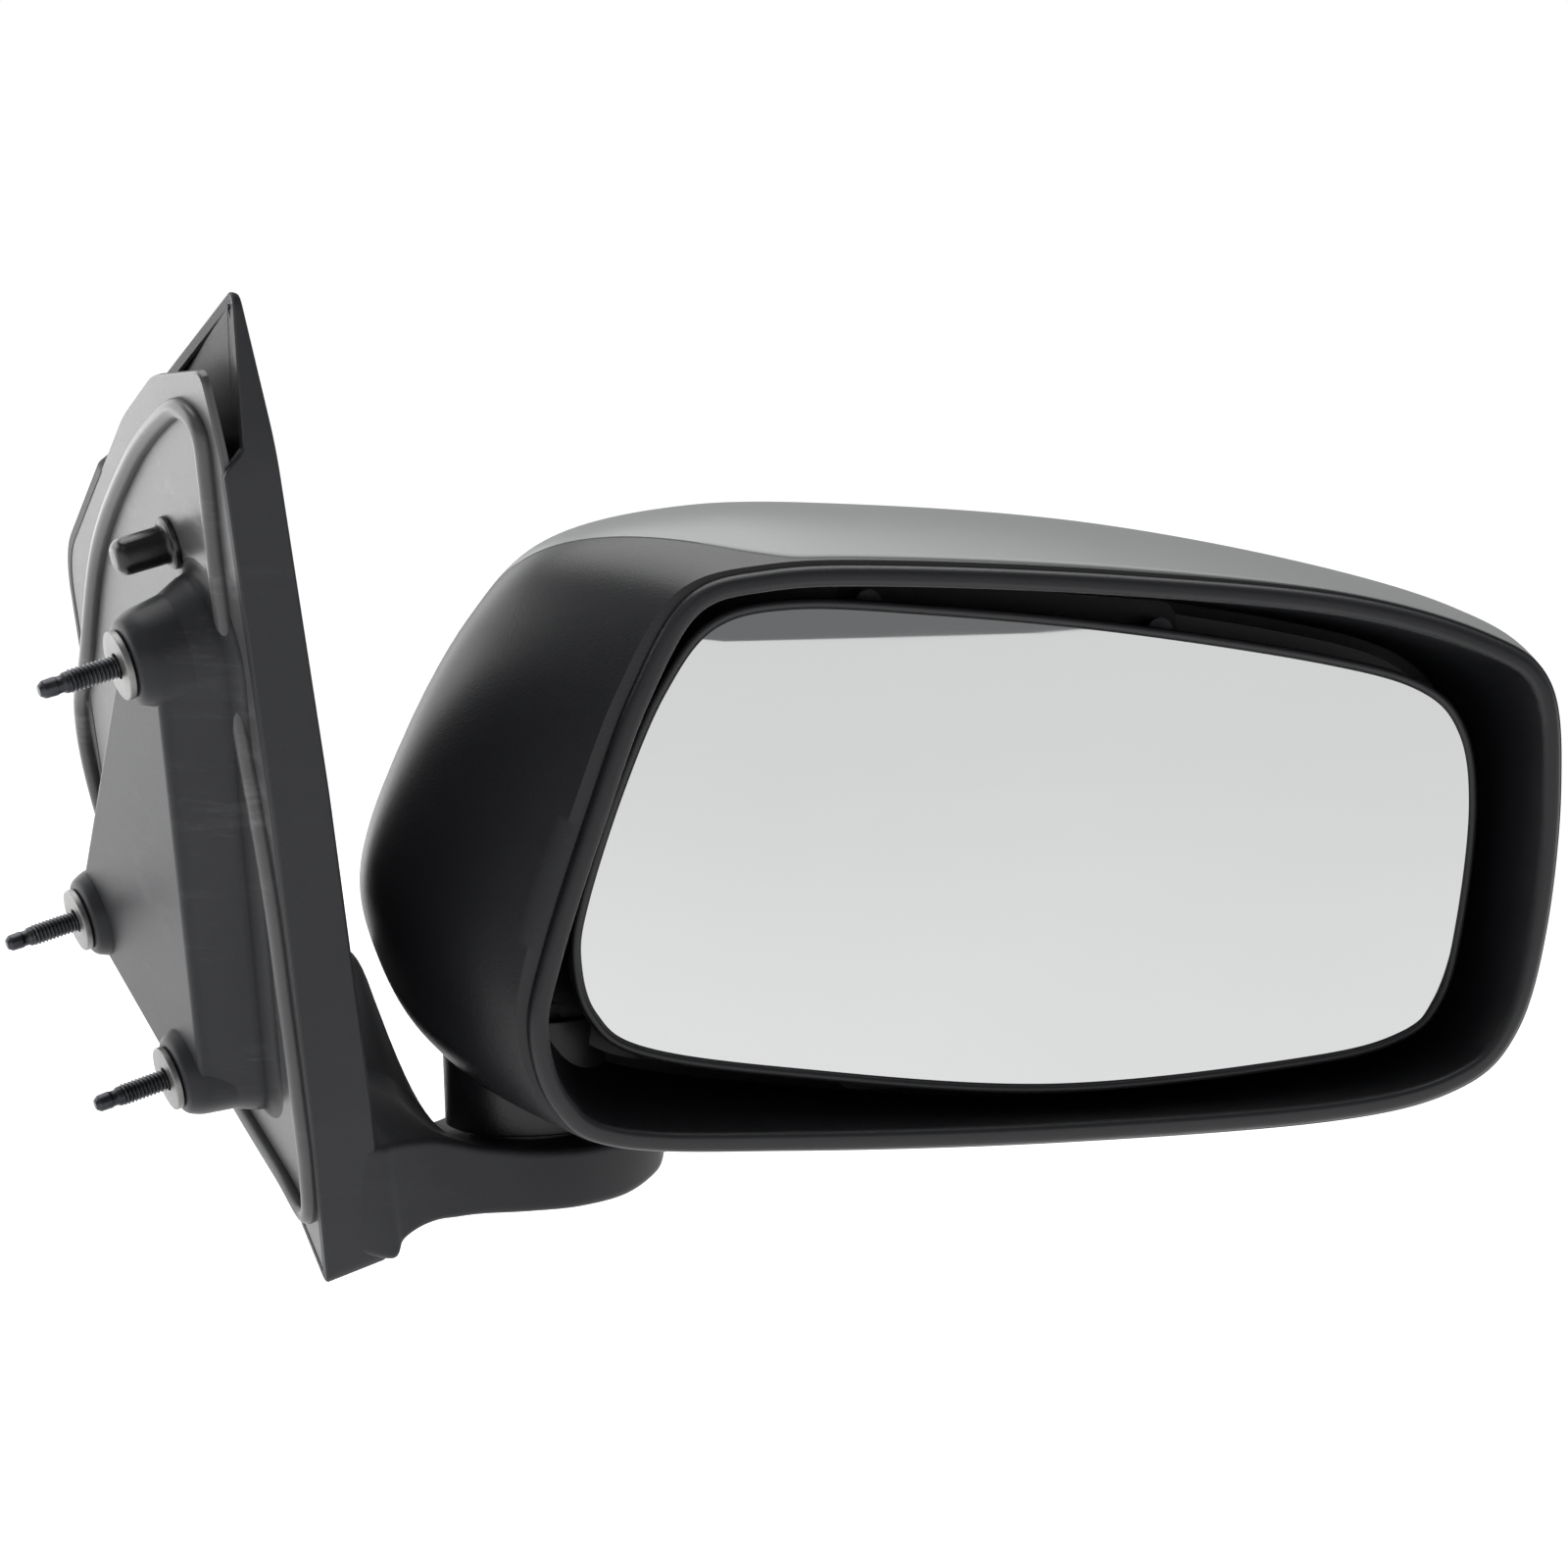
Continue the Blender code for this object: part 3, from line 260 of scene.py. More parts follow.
def closedSpline(points, steps):
    # closed curve through the points: a cubic between each two, with its slopes from their neighbours
    p = np.array(points, float)
    a, b, c, d = (q[:, None, :] for q in (np.roll(p, 1, 0), p, np.roll(p, -1, 0), np.roll(p, -2, 0)))
    t = (np.arange(steps) / steps)[None, :, None]
    curve = 0.5 * (2 * b + (c - a) * t + (2 * a - 5 * b + 4 * c - d) * t**2 + (3 * b - a - 3 * c + d) * t**3)
    return curve.reshape(-1, p.shape[1])


def runAlong(loop):
    # distance travelled at each point of a closed loop, back to the first
    return np.concatenate([[0], np.cumsum(np.linalg.norm(np.roll(loop, -1, 0) - loop, axis=1))])


def evenly(loop, count):
    # closed loop with points at equal distances
    run = runAlong(loop)
    closed = np.vstack([loop, loop[:1]])
    at = np.arange(count) * run[-1] / count
    return np.stack([np.interp(at, run, closed[:, k]) for k in range(loop.shape[1])], 1)


def inset(loop, distance):
    # each point moves inwards along the loop's normal
    ahead = np.roll(loop, -1, 0) - np.roll(loop, 1, 0)
    ahead = ahead / np.linalg.norm(ahead, axis=1)[:, None]
    area = np.sum(loop[:, 0] * np.roll(loop[:, 1], -1) - np.roll(loop[:, 0], -1) * loop[:, 1])
    return loop + np.stack([-ahead[:, 1], ahead[:, 0]], 1) * np.sign(area) * np.reshape(distance, (-1, 1))


def softPolygon(corners, steps=10):
    # corners (a, b, radius) rounded by parabolas
    points = []
    count = len(corners)
    for i in range(count):
        before, here, after = (np.array(corners[k % count][:2]) for k in (i - 1, i, i + 1))
        back, on = before - here, after - here
        room = 0.48 * min(np.linalg.norm(back), np.linalg.norm(on))
        back, on = back / np.linalg.norm(back), on / np.linalg.norm(on)
        half = np.arccos(np.clip(back @ on, -0.9999, 1)) / 2
        cut = min(max(corners[i][2] / np.tan(half), 0.0005), room)
        s = np.linspace(0, 1, steps + 1)[:, None]
        points.append((1 - s) ** 2 * (here + back * cut) + 2 * s * (1 - s) * here + s**2 * (here + on * cut))
    return np.concatenate(points)


def turned(profile, segments=64):
    # (radius, height) profile about Z
    p = np.array(profile, float)
    a = np.arange(segments) * 2 * pi / segments
    return np.stack([p[:, :1] * np.cos(a), p[:, :1] * np.sin(a), np.repeat(p[:, 1:], segments, 1)], -1)


def pointed(grid, direction, place):
    # carry a shape built along +Z to a place along a direction
    turn = np.array(Vector((0, 0, 1)).rotation_difference(Vector(direction)).to_matrix())
    return grid @ turn.T + np.array(place)


def softProfile(corners, rounding=0.0003, steps=4):
    # open profile of (radius, height) corners with small rounds between its ends
    points = [np.array([corners[0]], float)]
    s = np.linspace(0, 1, steps + 1)[:, None]
    for before, here, after in zip(corners, corners[1:], corners[2:]):
        before, here, after = (np.array(v, float) for v in (before, here, after))
        back, on = before - here, after - here
        cut = min(rounding, 0.45 * np.linalg.norm(back), 0.45 * np.linalg.norm(on))
        start, end = here + back / np.linalg.norm(back) * cut, here + on / np.linalg.norm(on) * cut
        points.append((1 - s) ** 2 * start + 2 * s * (1 - s) * here + s**2 * end)
    return np.concatenate(points + [np.array([corners[-1]], float)])


head = dict(width=0.276, height=0.147, depth=0.095, belly=0.045, innerEnd=-0.010, bottom=-0.0775,
            rimPlane=-0.051, rimWidth=0.0052, wall=0.0025, recess=0.042, skirtGap=0.0065, ribs=480, seam=0.0055, bellyT=0.45,
            lipRound=0.0024, foldRound=0.0016)
rimPoints = [
    (0.504, 0.000), (0.775, 0.007), (0.902, 0.051), (0.960, 0.146), (0.989, 0.330), (1.000, 0.582),
    (0.986, 0.769), (0.920, 0.857), (0.775, 0.932), (0.558, 0.976), (0.341, 1.000), (0.221, 0.997),
    (0.145, 0.955), (0.094, 0.799), (0.054, 0.602), (0.014, 0.378), (0.000, 0.241), (0.022, 0.112),
    (0.080, 0.040), (0.250, 0.014)]
bellyPoints = [
    (0.504, -0.024), (0.775, -0.020), (0.920, 0.024), (0.986, 0.126), (1.016, 0.323), (1.0305, 0.582),
    (1.016, 0.799), (0.942, 0.895), (0.775, 0.983), (0.565, 1.054), (0.350, 1.088), (0.190, 1.090),
    (0.060, 1.035), (-0.014, 0.901), (-0.076, 0.697), (-0.116, 0.486), (-0.101, 0.323), (-0.055, 0.176),
    (0.028, 0.066), (0.190, 0.010)]
glassPoints = [
    (0.504, 0.069), (0.760, 0.086), (0.868, 0.120), (0.912, 0.190), (0.932, 0.330), (0.943, 0.540),
    (0.930, 0.680), (0.885, 0.765), (0.780, 0.822), (0.570, 0.888), (0.380, 0.927), (0.255, 0.940),
    (0.180, 0.907), (0.132, 0.795), (0.092, 0.625), (0.060, 0.440), (0.053, 0.340), (0.068, 0.240),
    (0.115, 0.172), (0.255, 0.122)]


def inHead(points):
    # fractions of the head's width and height, as x and z in the head's frame
    p = np.array(points, float)
    return np.stack([head["innerEnd"] + p[:, 0] * head["width"], head["bottom"] + p[:, 1] * head["height"]], 1)


fineRim = inHead(closedSpline(rimPoints, 400))
ribs = np.searchsorted(runAlong(fineRim), np.arange(head["ribs"]) * runAlong(fineRim)[-1] / head["ribs"])
rimLoop = fineRim[ribs]
bellyLoop = inHead(closedSpline(bellyPoints, 400))[ribs]
glassLoop = inHead(closedSpline(glassPoints, 400))[ribs]
poleXz = inHead([(0.47, 0.54)])[0]


def shellRow(t, wall=0.0):
    # quarter-sine swell from rim to belly, then a superellipse to the pole; one t for each rib
    rim, belly = inset(rimLoop, wall), inset(bellyLoop, wall)
    t = np.broadcast_to(np.asarray(t, float), (head["ribs"],))
    bellyT = head["bellyT"]
    outline = rim + (belly - rim) * np.sin(np.clip(t / bellyT, 0, 1) * pi / 2)[:, None]
    arc = np.clip((t - bellyT) / (1 - bellyT), 0, 1) * pi / 2
    power = 2 / 2.4
    closing = np.where(arc >= pi / 2 - 1e-9, 0, np.cos(arc)) ** power
    outline = poleXz + (outline - poleXz) * closing[:, None]
    dome = (head["depth"] - wall - head["belly"]) * np.sin(arc) ** power
    depth = np.where(t < bellyT, head["belly"] * t / bellyT, head["belly"] + dome)
    return np.stack([outline[:, 0], head["rimPlane"] + depth, outline[:, 1]], 1)


def partingLine():
    # close to the rim along the outer end, then forward round the inner end in a smooth step
    fraction = (bellyLoop[:, 0] - head["innerEnd"]) / head["width"]
    high = np.clip((bellyLoop[:, 1] - poleXz[1]) / 0.05 + 0.5, 0, 1)
    start = 0.50 - 0.25 * (3 * high**2 - 2 * high**3)
    s = np.clip((start - fraction) / (start + 0.15), 0, 1)
    return 0.035 + (0.74 - 0.035) * (3 * s**2 - 2 * s**3)


def flatRow(loop, depth):
    # a head outline stood at one depth behind the rim
    return np.stack([loop[:, 0], np.broadcast_to(head["rimPlane"] + depth, (len(loop),)), loop[:, 1]], 1)


parting = partingLine()


def makeRearHousing():
    # outer wall to the lip, rolled lip, skirt in to the glass, back along the skirt, inner wall
    outer = [shellRow(parting + (0.026 - parting) * k) for k in np.linspace(0, 1, 34)]
    edge = [shellRow(parting - 0.002, 0.0006), shellRow(parting, 0.0002)]
    roll = []
    width, lip, fold = head["rimWidth"], head["lipRound"], head["foldRound"]
    for a in np.linspace(0, 1, 9):                 # quarter round of the lip's outer edge
        turn = a * pi / 2
        roll.append(flatRow(inset(rimLoop, lip * (1 - cos(turn))), lip * (1 - sin(turn)) + 0.0001))
    for a in np.linspace(0, 1, 7):                 # round into the recess
        turn = a * pi / 2
        roll.append(flatRow(inset(rimLoop, width - fold * (1 - sin(turn))), fold * (1 - cos(turn))))
    lipEnd, skirtEnd = inset(rimLoop, width), inset(glassLoop, -head["skirtGap"])
    skirt = []
    for s in np.linspace(0.03, 1, 16):             # skirt, first straight back and then in towards the glass
        drawIn = s**1.25
        skirt.append(flatRow(lipEnd + (skirtEnd - lipEnd) * drawIn, fold + (head["recess"] - fold) * s))
    back = [flatRow(inset(glassLoop, -head["skirtGap"] - 0.002), head["recess"]),
            flatRow(inset(rimLoop, width - fold), 0.0034)]
    inner = [shellRow(np.minimum(0.085, parting - 0.006) * (1 - k) + (parting - 0.002) * k, head["wall"])
             for k in np.linspace(0, 1, 20)]
    rows = np.array(edge[::-1][:1] + outer + roll + skirt + back + inner + edge[:1])
    return surface("rearHousing", [(headToWorld(rows), True, True)], finishes["black_housing_plastic"], "head",
                   ["rear_housing"], 35)


def makeFrontCap():
    # outer dome from the seam to the pole, with a rolled edge, and the inner dome a wall inside
    start = parting + head["seam"]
    steps = np.concatenate([[0.0, 0.008], np.linspace(0.02, 0.9, 60), 1 - np.geomspace(0.09, 0.0004, 22)])
    roll = [shellRow(start + (1 - start) * 0.003, 0.0003), shellRow(start, 0.0008), shellRow(start, 0.0019)]
    outer = [shellRow(start + (1 - start) * s) for s in steps[1:]] + [shellRow(1.0)]
    wall = head["wall"]
    inner = [shellRow(start + (1 - start) * s, wall) for s in steps[::3]] + [shellRow(1.0, wall)]
    rows = np.array(outer[::-1] + roll + inner)
    return surface("frontCap", [(headToWorld(rows), False, True)], finishes["grey_primer"], "head",
                   ["front_cap"], 35)


def linerRow(inwards, lift):
    # the liner bulges forward over the hub, as a round swell that fades with distance from it
    loop = inset(glassLoop, inwards)
    away = np.linalg.norm(loop - np.array(liner["hub"]), axis=1) / liner["hubReach"]
    swell = np.clip(1 - away**2, 0, 1) ** 0.5
    return flatRow(loop, liner["depth"] + lift - liner["swell"] * swell)


liner = dict(depth=0.0425, hub=(0.0, -0.058), hubReach=0.030, swell=0.0089, thickness=0.0010, width=0.014)


def makeRecessLiner():
    # dark inner wall behind the skirt, in a darker copy of the housing's black plastic as painted shade deep in
    # the recess
    spans = np.linspace(-0.0035, liner["width"], 16)
    rows = [linerRow(k, 0.0) for k in spans] + [linerRow(k, liner["thickness"]) for k in spans[::-1]]
    return surface("recessLiner", [(headToWorld(np.array(rows)), True, True)], paintedShadeRecessBlack, "head")


collar = dict(inner=0.0179, foot=-0.0742, top=-0.0450, wall=0.0024, flare=0.0008)


def makeHubCollar():
    # dark sleeve round the foot of the head, over the hub
    inner, foot, top = collar["inner"], collar["foot"], collar["top"]
    outer = inner + collar["wall"]
    middle = (inner, (foot + top) / 2)
    profile = softProfile([middle, (inner, foot), (outer, foot), (outer + collar["flare"], top), (inner, top),
                           middle], 0.0006, 5)[:-1]
    return surface("hubCollar", [(headToWorld(turned(profile, 96)), True, True)],
                   finishes["black_housing_plastic"], "head")


makeRearHousing()
makeFrontCap()
makeRecessLiner()
makeHubCollar()
print("head shells done")

glass = dict(depth=0.017, radius=1.40, thickness=0.0019, lip=0.0022, gimbalDepth=0.0355)
glassMiddle = (glassLoop.max(0) + glassLoop.min(0)) / 2


def glassRow(scale, inwards, depth):
    # ring of the glass outline on a shallow sphere, shrunk towards its middle
    loop = inset(glassLoop, inwards)
    loop = glassMiddle + (loop - glassMiddle) * scale
    half = (glassLoop[:, 0].max() - glassLoop[:, 0].min()) / 2
    bulge = (half**2 - np.sum((loop - glassMiddle) ** 2, 1)) / (2 * glass["radius"])
    return flatRow(loop, glass["depth"] + depth - bulge)


def makeGlass():
    # plate of rings from the middle to the edge and back, in a holder with a rounded lip
    shrink = np.linspace(0, 1, 26)
    front = [glassRow(s, glass["lip"] + 0.0004, 0.0006) for s in shrink]
    edge = [glassRow(1, glass["lip"] + 0.0001, 0.0008), glassRow(1, glass["lip"] + 0.0001, 0.0022)]
    back = [glassRow(s, glass["lip"] + 0.0004, 0.0025) for s in shrink[::-1]]
    surface("mirrorGlass", [(headToWorld(np.array(front + edge + back)), False, True)],
            finishes["mirror_silver"], "glass", ["mirror_glass"])
    floor = 0.0006 + glass["thickness"] + 0.0016
    lip = glass["lip"]
    roll = []
    for a in np.linspace(0, pi, 11):              # rounded lip round the glass
        roll.append(glassRow(1, lip * 0.5 + lip * 0.5 * cos(a), 0.0008 - 0.0008 * sin(a)))
    pocket = [glassRow(s, lip, floor) for s in shrink[::3]]
    side = [glassRow(1, 0.0, floor), glassRow(1, 0.0004, floor + 0.0016), glassRow(1, 0.0018, floor + 0.0022)]
    rear = [glassRow(s, 0.0018, floor + 0.0022) for s in shrink[::-3]]
    ears = []
    gimbal = np.array([glassMiddle[0], head["rimPlane"] + glass["gimbalDepth"], glassMiddle[1]])
    earMiddle = np.array([0, -0.0065, 0])
    s = np.linspace(0, 2 * pi, 49)[:-1]
    width = 0.005 * np.sign(np.cos(s)) * np.abs(np.cos(s)) ** 0.35
    reach = 0.0115 * np.sign(np.sin(s)) * np.abs(np.sin(s)) ** 0.35
    outline = np.stack([width, reach, np.zeros_like(s)], 1)
    for height in (-0.022, 0.022):                # two ears that carry the pan trunnions
        rows = [gimbal + earMiddle + np.array([0, 0, height + h]) + outline * k
                for k, h in ((0.0, -0.002), (1.0, -0.002), (1.0, 0.002), (0.0, 0.002))]
        ears.append((headToWorld(np.array(rows)), False, True))
    surface("glassHolder", [(headToWorld(np.array(pocket + roll + side + rear)), False, True)] + ears,
            finishes["black_housing_plastic"], "glass", ["glass_holder"], 40)


makeGlass()
print("glass done")

base = dict(sheetX=0.019, sailDepth=0.0145, sailTaper=0.02, wall=0.0028, edgeRound=0.0016,
            sheetThickness=0.0018)
sailCorners = [
    (-0.108, 0.133, 0.003), (-0.036, 0.1085, 0.090), (0.048, 0.070, 0.035), (0.093, -0.025, 0.030),
    (0.010, -0.095, 0.012), (-0.001, -0.120, 0.0025), (-0.028, -0.070, 0.100), (-0.068, 0.015, 0.200),
    (-0.102, 0.097, 0.060)]
sheetCorners = [
    (-0.1035, 0.1180, 0.004), (-0.066, 0.1165, 0.030), (-0.036, 0.1070, 0.090), (0.0470, 0.0690, 0.034),
    (0.0915, -0.0250, 0.029), (0.0095, -0.0940, 0.011), (-0.0015, -0.1170, 0.002), (-0.0275, -0.0695, 0.100),
    (-0.0672, 0.0150, 0.200), (-0.1010, 0.0965, 0.050)]
# heights along the cover and where its edge stands at each
edgeRise = [(0.0945, 0.0985, 0.118, 0.132), (0.0188, 0.0240, 0.0268, 0.0290)]
sailLoop = evenly(softPolygon(sailCorners, 14), 520)
sheetLoop = evenly(softPolygon(sheetCorners, 14), 420)


def standing(loop, x):
    # a y, z loop stood at a base-frame x, which may differ from point to point
    return np.stack([np.broadcast_to(x, (len(loop),)), loop[:, 0], loop[:, 1]], 1)


def sailFace(loop, inwards=0.0):
    # outer face of the cover, slightly lower towards the front
    return base["sheetX"] + base["sailDepth"] - inwards - base["sailTaper"] * loop[:, 1]


def sailEdge(loop):
    # the cover's edge stands off the door, further towards the upper tip
    return np.interp(loop[:, 1], edgeRise[0], edgeRise[1])


def towards(loop, scale, centre=(0.0, -0.005)):
    # a loop shrunk towards a point
    return np.array(centre) + (loop - np.array(centre)) * scale


arm = dict(round=0.003, upright=0.090, middle=-0.075, stepsAlong=12, tip=0.0045)
# fullness of the lower front corner, rear y at the bottom and at the crease, front y, then the
# heights of the bottom, the crease, the saddle and the ridge; the sections start with their x
armRoot = (0.0, -0.0035, -0.0215, 0.055, -0.1140, -0.0800, -0.0620, -0.0400)
armSections = [
    (0.057, 0.10, -0.0065, -0.0210, 0.056, -0.1050, -0.0715, -0.0560, -0.0300),
    (0.061, 0.20, -0.0085, -0.0200, 0.056, -0.0998, -0.0712, -0.0570, -0.0305),
    (0.066, 0.35, -0.0100, -0.0190, 0.055, -0.0965, -0.0712, -0.0600, -0.0315),
    (0.072, 0.50, -0.0110, -0.0180, 0.054, -0.0945, -0.0715, -0.0645, -0.0325),
    (0.078, 0.70, -0.0120, -0.0180, 0.054, -0.0938, -0.0725, -0.0735, -0.0345),
    (0.085, 0.85, -0.0145, -0.0190, 0.047, -0.0930, -0.0742, -0.0762, -0.0757),
    (0.0965, 1.00, -0.0195, -0.0222, 0.038, -0.0924, -0.0756, -0.0760, -0.0758),
    (0.1095, 1.00, -0.0210, -0.0235, 0.034, -0.0922, -0.0760, -0.0760, -0.0758),
    (0.124, 1.00, -0.0170, -0.0190, 0.030, -0.0914, -0.0760, -0.0760, -0.0758),
    (0.136, 1.00, -0.0090, -0.0110, 0.022, -0.0885, -0.0762, -0.0762, -0.0762),
    (0.142, 1.00, 0.0000, -0.0010, 0.011, -0.0862, -0.0770, -0.0770, -0.0770)]


def armSection(fullness, rearLow, rear, front, bottom, crease, saddle, ridge):
    wide, tall = front - rear, crease - bottom
    slim = (rearLow + 0.36 * (front - rearLow), bottom + 0.80 * tall)
    full = (front - 0.05 * wide, bottom + 0.2 * tall)
    lowY, lowZ = (a + (b - a) * fullness for a, b in zip(slim, full))
    corners = [(rearLow, bottom, arm["round"]), (rear, crease, arm["round"] * 0.8),
               (rear + 0.40 * wide, saddle, 0.3 * wide), (front - 0.16 * wide, ridge, 0.1 * wide),
               (front, ridge - 0.35 * tall, 0.1 * wide), (lowY, lowZ, 0.1 * wide)]
    return softPolygon(corners, 10)


def armRows():
    rings = [standing(armSection(*armRoot), base["sheetX"] + base["sailDepth"] - 0.006)]
    for x, *sizes in armSections:
        loop = armSection(*sizes)
        upright = np.clip((arm["upright"] - x) / (arm["upright"] - armSections[0][0]), 0, 1)
        p = standing(loop, x - (loop[:, 1] - arm["middle"]) * tan(doorLean) * upright)
        rings.append(np.stack([p[:, 0] * cos(doorLean) + p[:, 2] * sin(doorLean), p[:, 1],
                               -p[:, 0] * sin(doorLean) + p[:, 2] * cos(doorLean)], 1))
    p = np.array([rings[0]] + rings + [rings[-1]])
    t = (np.arange(arm["stepsAlong"]) / arm["stepsAlong"])[:, None, None]
    rows = [0.5 * (2 * b + (c - a) * t + (2 * a - 5 * b + 4 * c - d) * t**2 + (3 * b - a - 3 * c + d) * t**3)
            for a, b, c, d in zip(p, p[1:], p[2:], p[3:])]
    last = rings[-1]
    outwards = np.array([cos(doorLean), 0, -sin(doorLean)]) * arm["tip"]
    middle = last.mean(0)
    cap = [middle + (last - middle) * cos(a) + outwards * sin(a) for a in np.linspace(0, pi / 2, 10)]
    first = np.broadcast_to(rings[0].mean(0), rings[0].shape)
    return np.concatenate([[first]] + rows + [np.array(cap)])


def makeBaseCover():
    wall, edge = base["wall"], base["edgeRound"]
    inner = inset(sailLoop, wall)
    hollow = [standing(towards(inner, s), sailFace(towards(inner, s), wall)) for s in np.linspace(0, 1, 14)]
    rim = sailEdge(sailLoop)
    hollow += [standing(inner, rim + 0.0005), standing(inset(sailLoop, wall - 0.0005), rim)]
    side = [standing(inset(sailLoop, 0.0004), rim), standing(sailLoop, rim + 0.0004)]
    wallTop = sailFace(sailLoop, edge)
    side += [standing(sailLoop, rim + 0.0004 + (wallTop - rim - 0.0004) * s) for s in (0.33, 0.66, 1.0)]
    for a in np.linspace(0.15, 1, 7) * pi / 2:
        loop = inset(sailLoop, edge * (1 - cos(a)))
        side.append(standing(loop, sailFace(loop, edge * (1 - sin(a)))))
    top = inset(sailLoop, edge)
    face = [standing(towards(top, s), sailFace(towards(top, s))) for s in np.linspace(1, 0, 16)[1:]]
    grids = [(baseToWorld(np.array(hollow + side + face)), False, True), (baseToWorld(armRows()), False, True)]
    surface("baseCover", grids, finishes["black_textured_plastic"], "base",
            ["base_cover"], 32)


def makeGasket():
    x, thick = base["sheetX"], base["sheetThickness"]
    loop = inset(sheetLoop, 0.0005)
    rows = [standing(towards(loop, s), x) for s in np.linspace(0, 0.985, 12)]
    rows += [standing(inset(loop, 0.0004), x), standing(loop, x + 0.0005), standing(loop, x + thick)]
    rows += [standing(towards(loop, s), x + thick) for s in (0.6, 0.0)]
    surface("gasketSheet", [(baseToWorld(np.array(rows)), False, True)], finishes["black_rubber"], "base",
            ["base_gasket"], 30)


bead = dict(radius=0.0023, x=0.0184)
beadPath = [
    (0.0820, 0.005), (0.0730, 0.026), (0.0530, 0.0415), (0.0108, 0.0735), (-0.0373, 0.0965), (-0.0740, 0.1080),
    (-0.0875, 0.1085), (-0.0940, 0.1040), (-0.0900, 0.0940), (-0.0800, 0.0755), (-0.0665, 0.0448),
    (-0.0580, 0.0163), (-0.0490, -0.010), (-0.0375, -0.036), (-0.0258, -0.062), (-0.0155, -0.083),
    (-0.0040, -0.0985), (0.0085, -0.0900), (0.0330, -0.0725), (0.0610, -0.0465), (0.0795, -0.0235)]


def makeBead():
    # round tube along a closed spline that lies on the sheet
    path = evenly(closedSpline(beadPath, 24), 420)
    ahead = np.roll(path, -1, 0) - np.roll(path, 1, 0)
    ahead = ahead / np.linalg.norm(ahead, axis=1)[:, None]
    across = np.stack([-ahead[:, 1], ahead[:, 0]], 1)
    a = np.arange(20) * 2 * pi / 20
    spread = path[:, None, :] + across[:, None, :] * (bead["radius"] * np.cos(a))[None, :, None]
    lift = np.broadcast_to(bead["x"] - bead["radius"] * np.sin(a), (len(path), 20))
    grid = np.concatenate([lift[..., None], spread], 2)
    surface("gasketBead", [(baseToWorld(grid), True, True)], finishes["black_rubber"], "base")


stud = dict(places=[(-0.0584, 0.0556), (0.0511, -0.0214), (0.0061, -0.0560)], names=["upper", "front", "lower"],
            radius=0.0027, pitch=0.00095, threadDepth=0.00042, start=0.0040, end=0.0158, reach=0.0224,
            bossRadius=0.0095, bossHeight=0.002, washerRadius=0.008, washerLow=0.0023, washerHigh=0.0040)
pedestal = dict(radius=0.0098, draft=0.0052, recess=0.0016, fillet=0.0035, edgeRound=0.0018, boss=0.0112,
                bossDraft=0.0030)


def studHull(radius, count=300):
    # rounded outline round the three studs: the farthest stud in each direction, plus the radius
    a = np.linspace(0, 2 * pi, 3000, endpoint=False)
    way = np.stack([np.cos(a), np.sin(a)], 1)
    places = np.array(stud["places"])
    return evenly(places[np.argmax(way @ places.T, 1)] + way * radius, count)


def makePedestal():
    # web with drafted walls and a fillet at the sheet, and a drafted boss at each stud
    x0, x1, fillet = pedestal["recess"], base["sheetX"], pedestal["fillet"]
    radius, edge = pedestal["radius"], pedestal["edgeRound"]
    rows = [standing(towards(studHull(radius - 0.002), s), x0) for s in (0, 0.5, 0.9, 1)]
    for a in np.linspace(0, 1, 7) * pi / 2:
        rows.append(standing(studHull(radius - edge * (1 - sin(a))), x0 + edge * (1 - cos(a))))
    wallRun = x1 - fillet - x0 - edge
    for s in np.linspace(0.1, 1, 8):
        rows.append(standing(studHull(radius + pedestal["draft"] * s), x0 + edge + wallRun * s))
    for a in np.linspace(0.1, 1, 8) * pi / 2:
        rows.append(standing(studHull(radius + pedestal["draft"] + fillet * (1 - cos(a))),
                             x1 - fillet * (1 - sin(a))))
    rows.append(standing(towards(studHull(0.016), 0), x1 + 0.0015))
    grids = [(baseToWorld(np.array(rows)), False, True)]
    outer, face = pedestal["boss"], stud["bossRadius"]
    foot = -base["sheetX"] - 0.001
    profile = softProfile([(0.0, stud["bossHeight"]), (face, stud["bossHeight"]), (outer, -0.0015),
                           (outer + pedestal["bossDraft"], foot), (0.0, foot)], 0.0016, 6)
    for y, z in stud["places"]:
        grids.append((baseToWorld(pointed(turned(profile, 72), (-1, 0, 0), (0, y, z))), False, True))
    surface("basePedestal", grids, finishes["nylon"], "base", ["base_bracket"], 40)


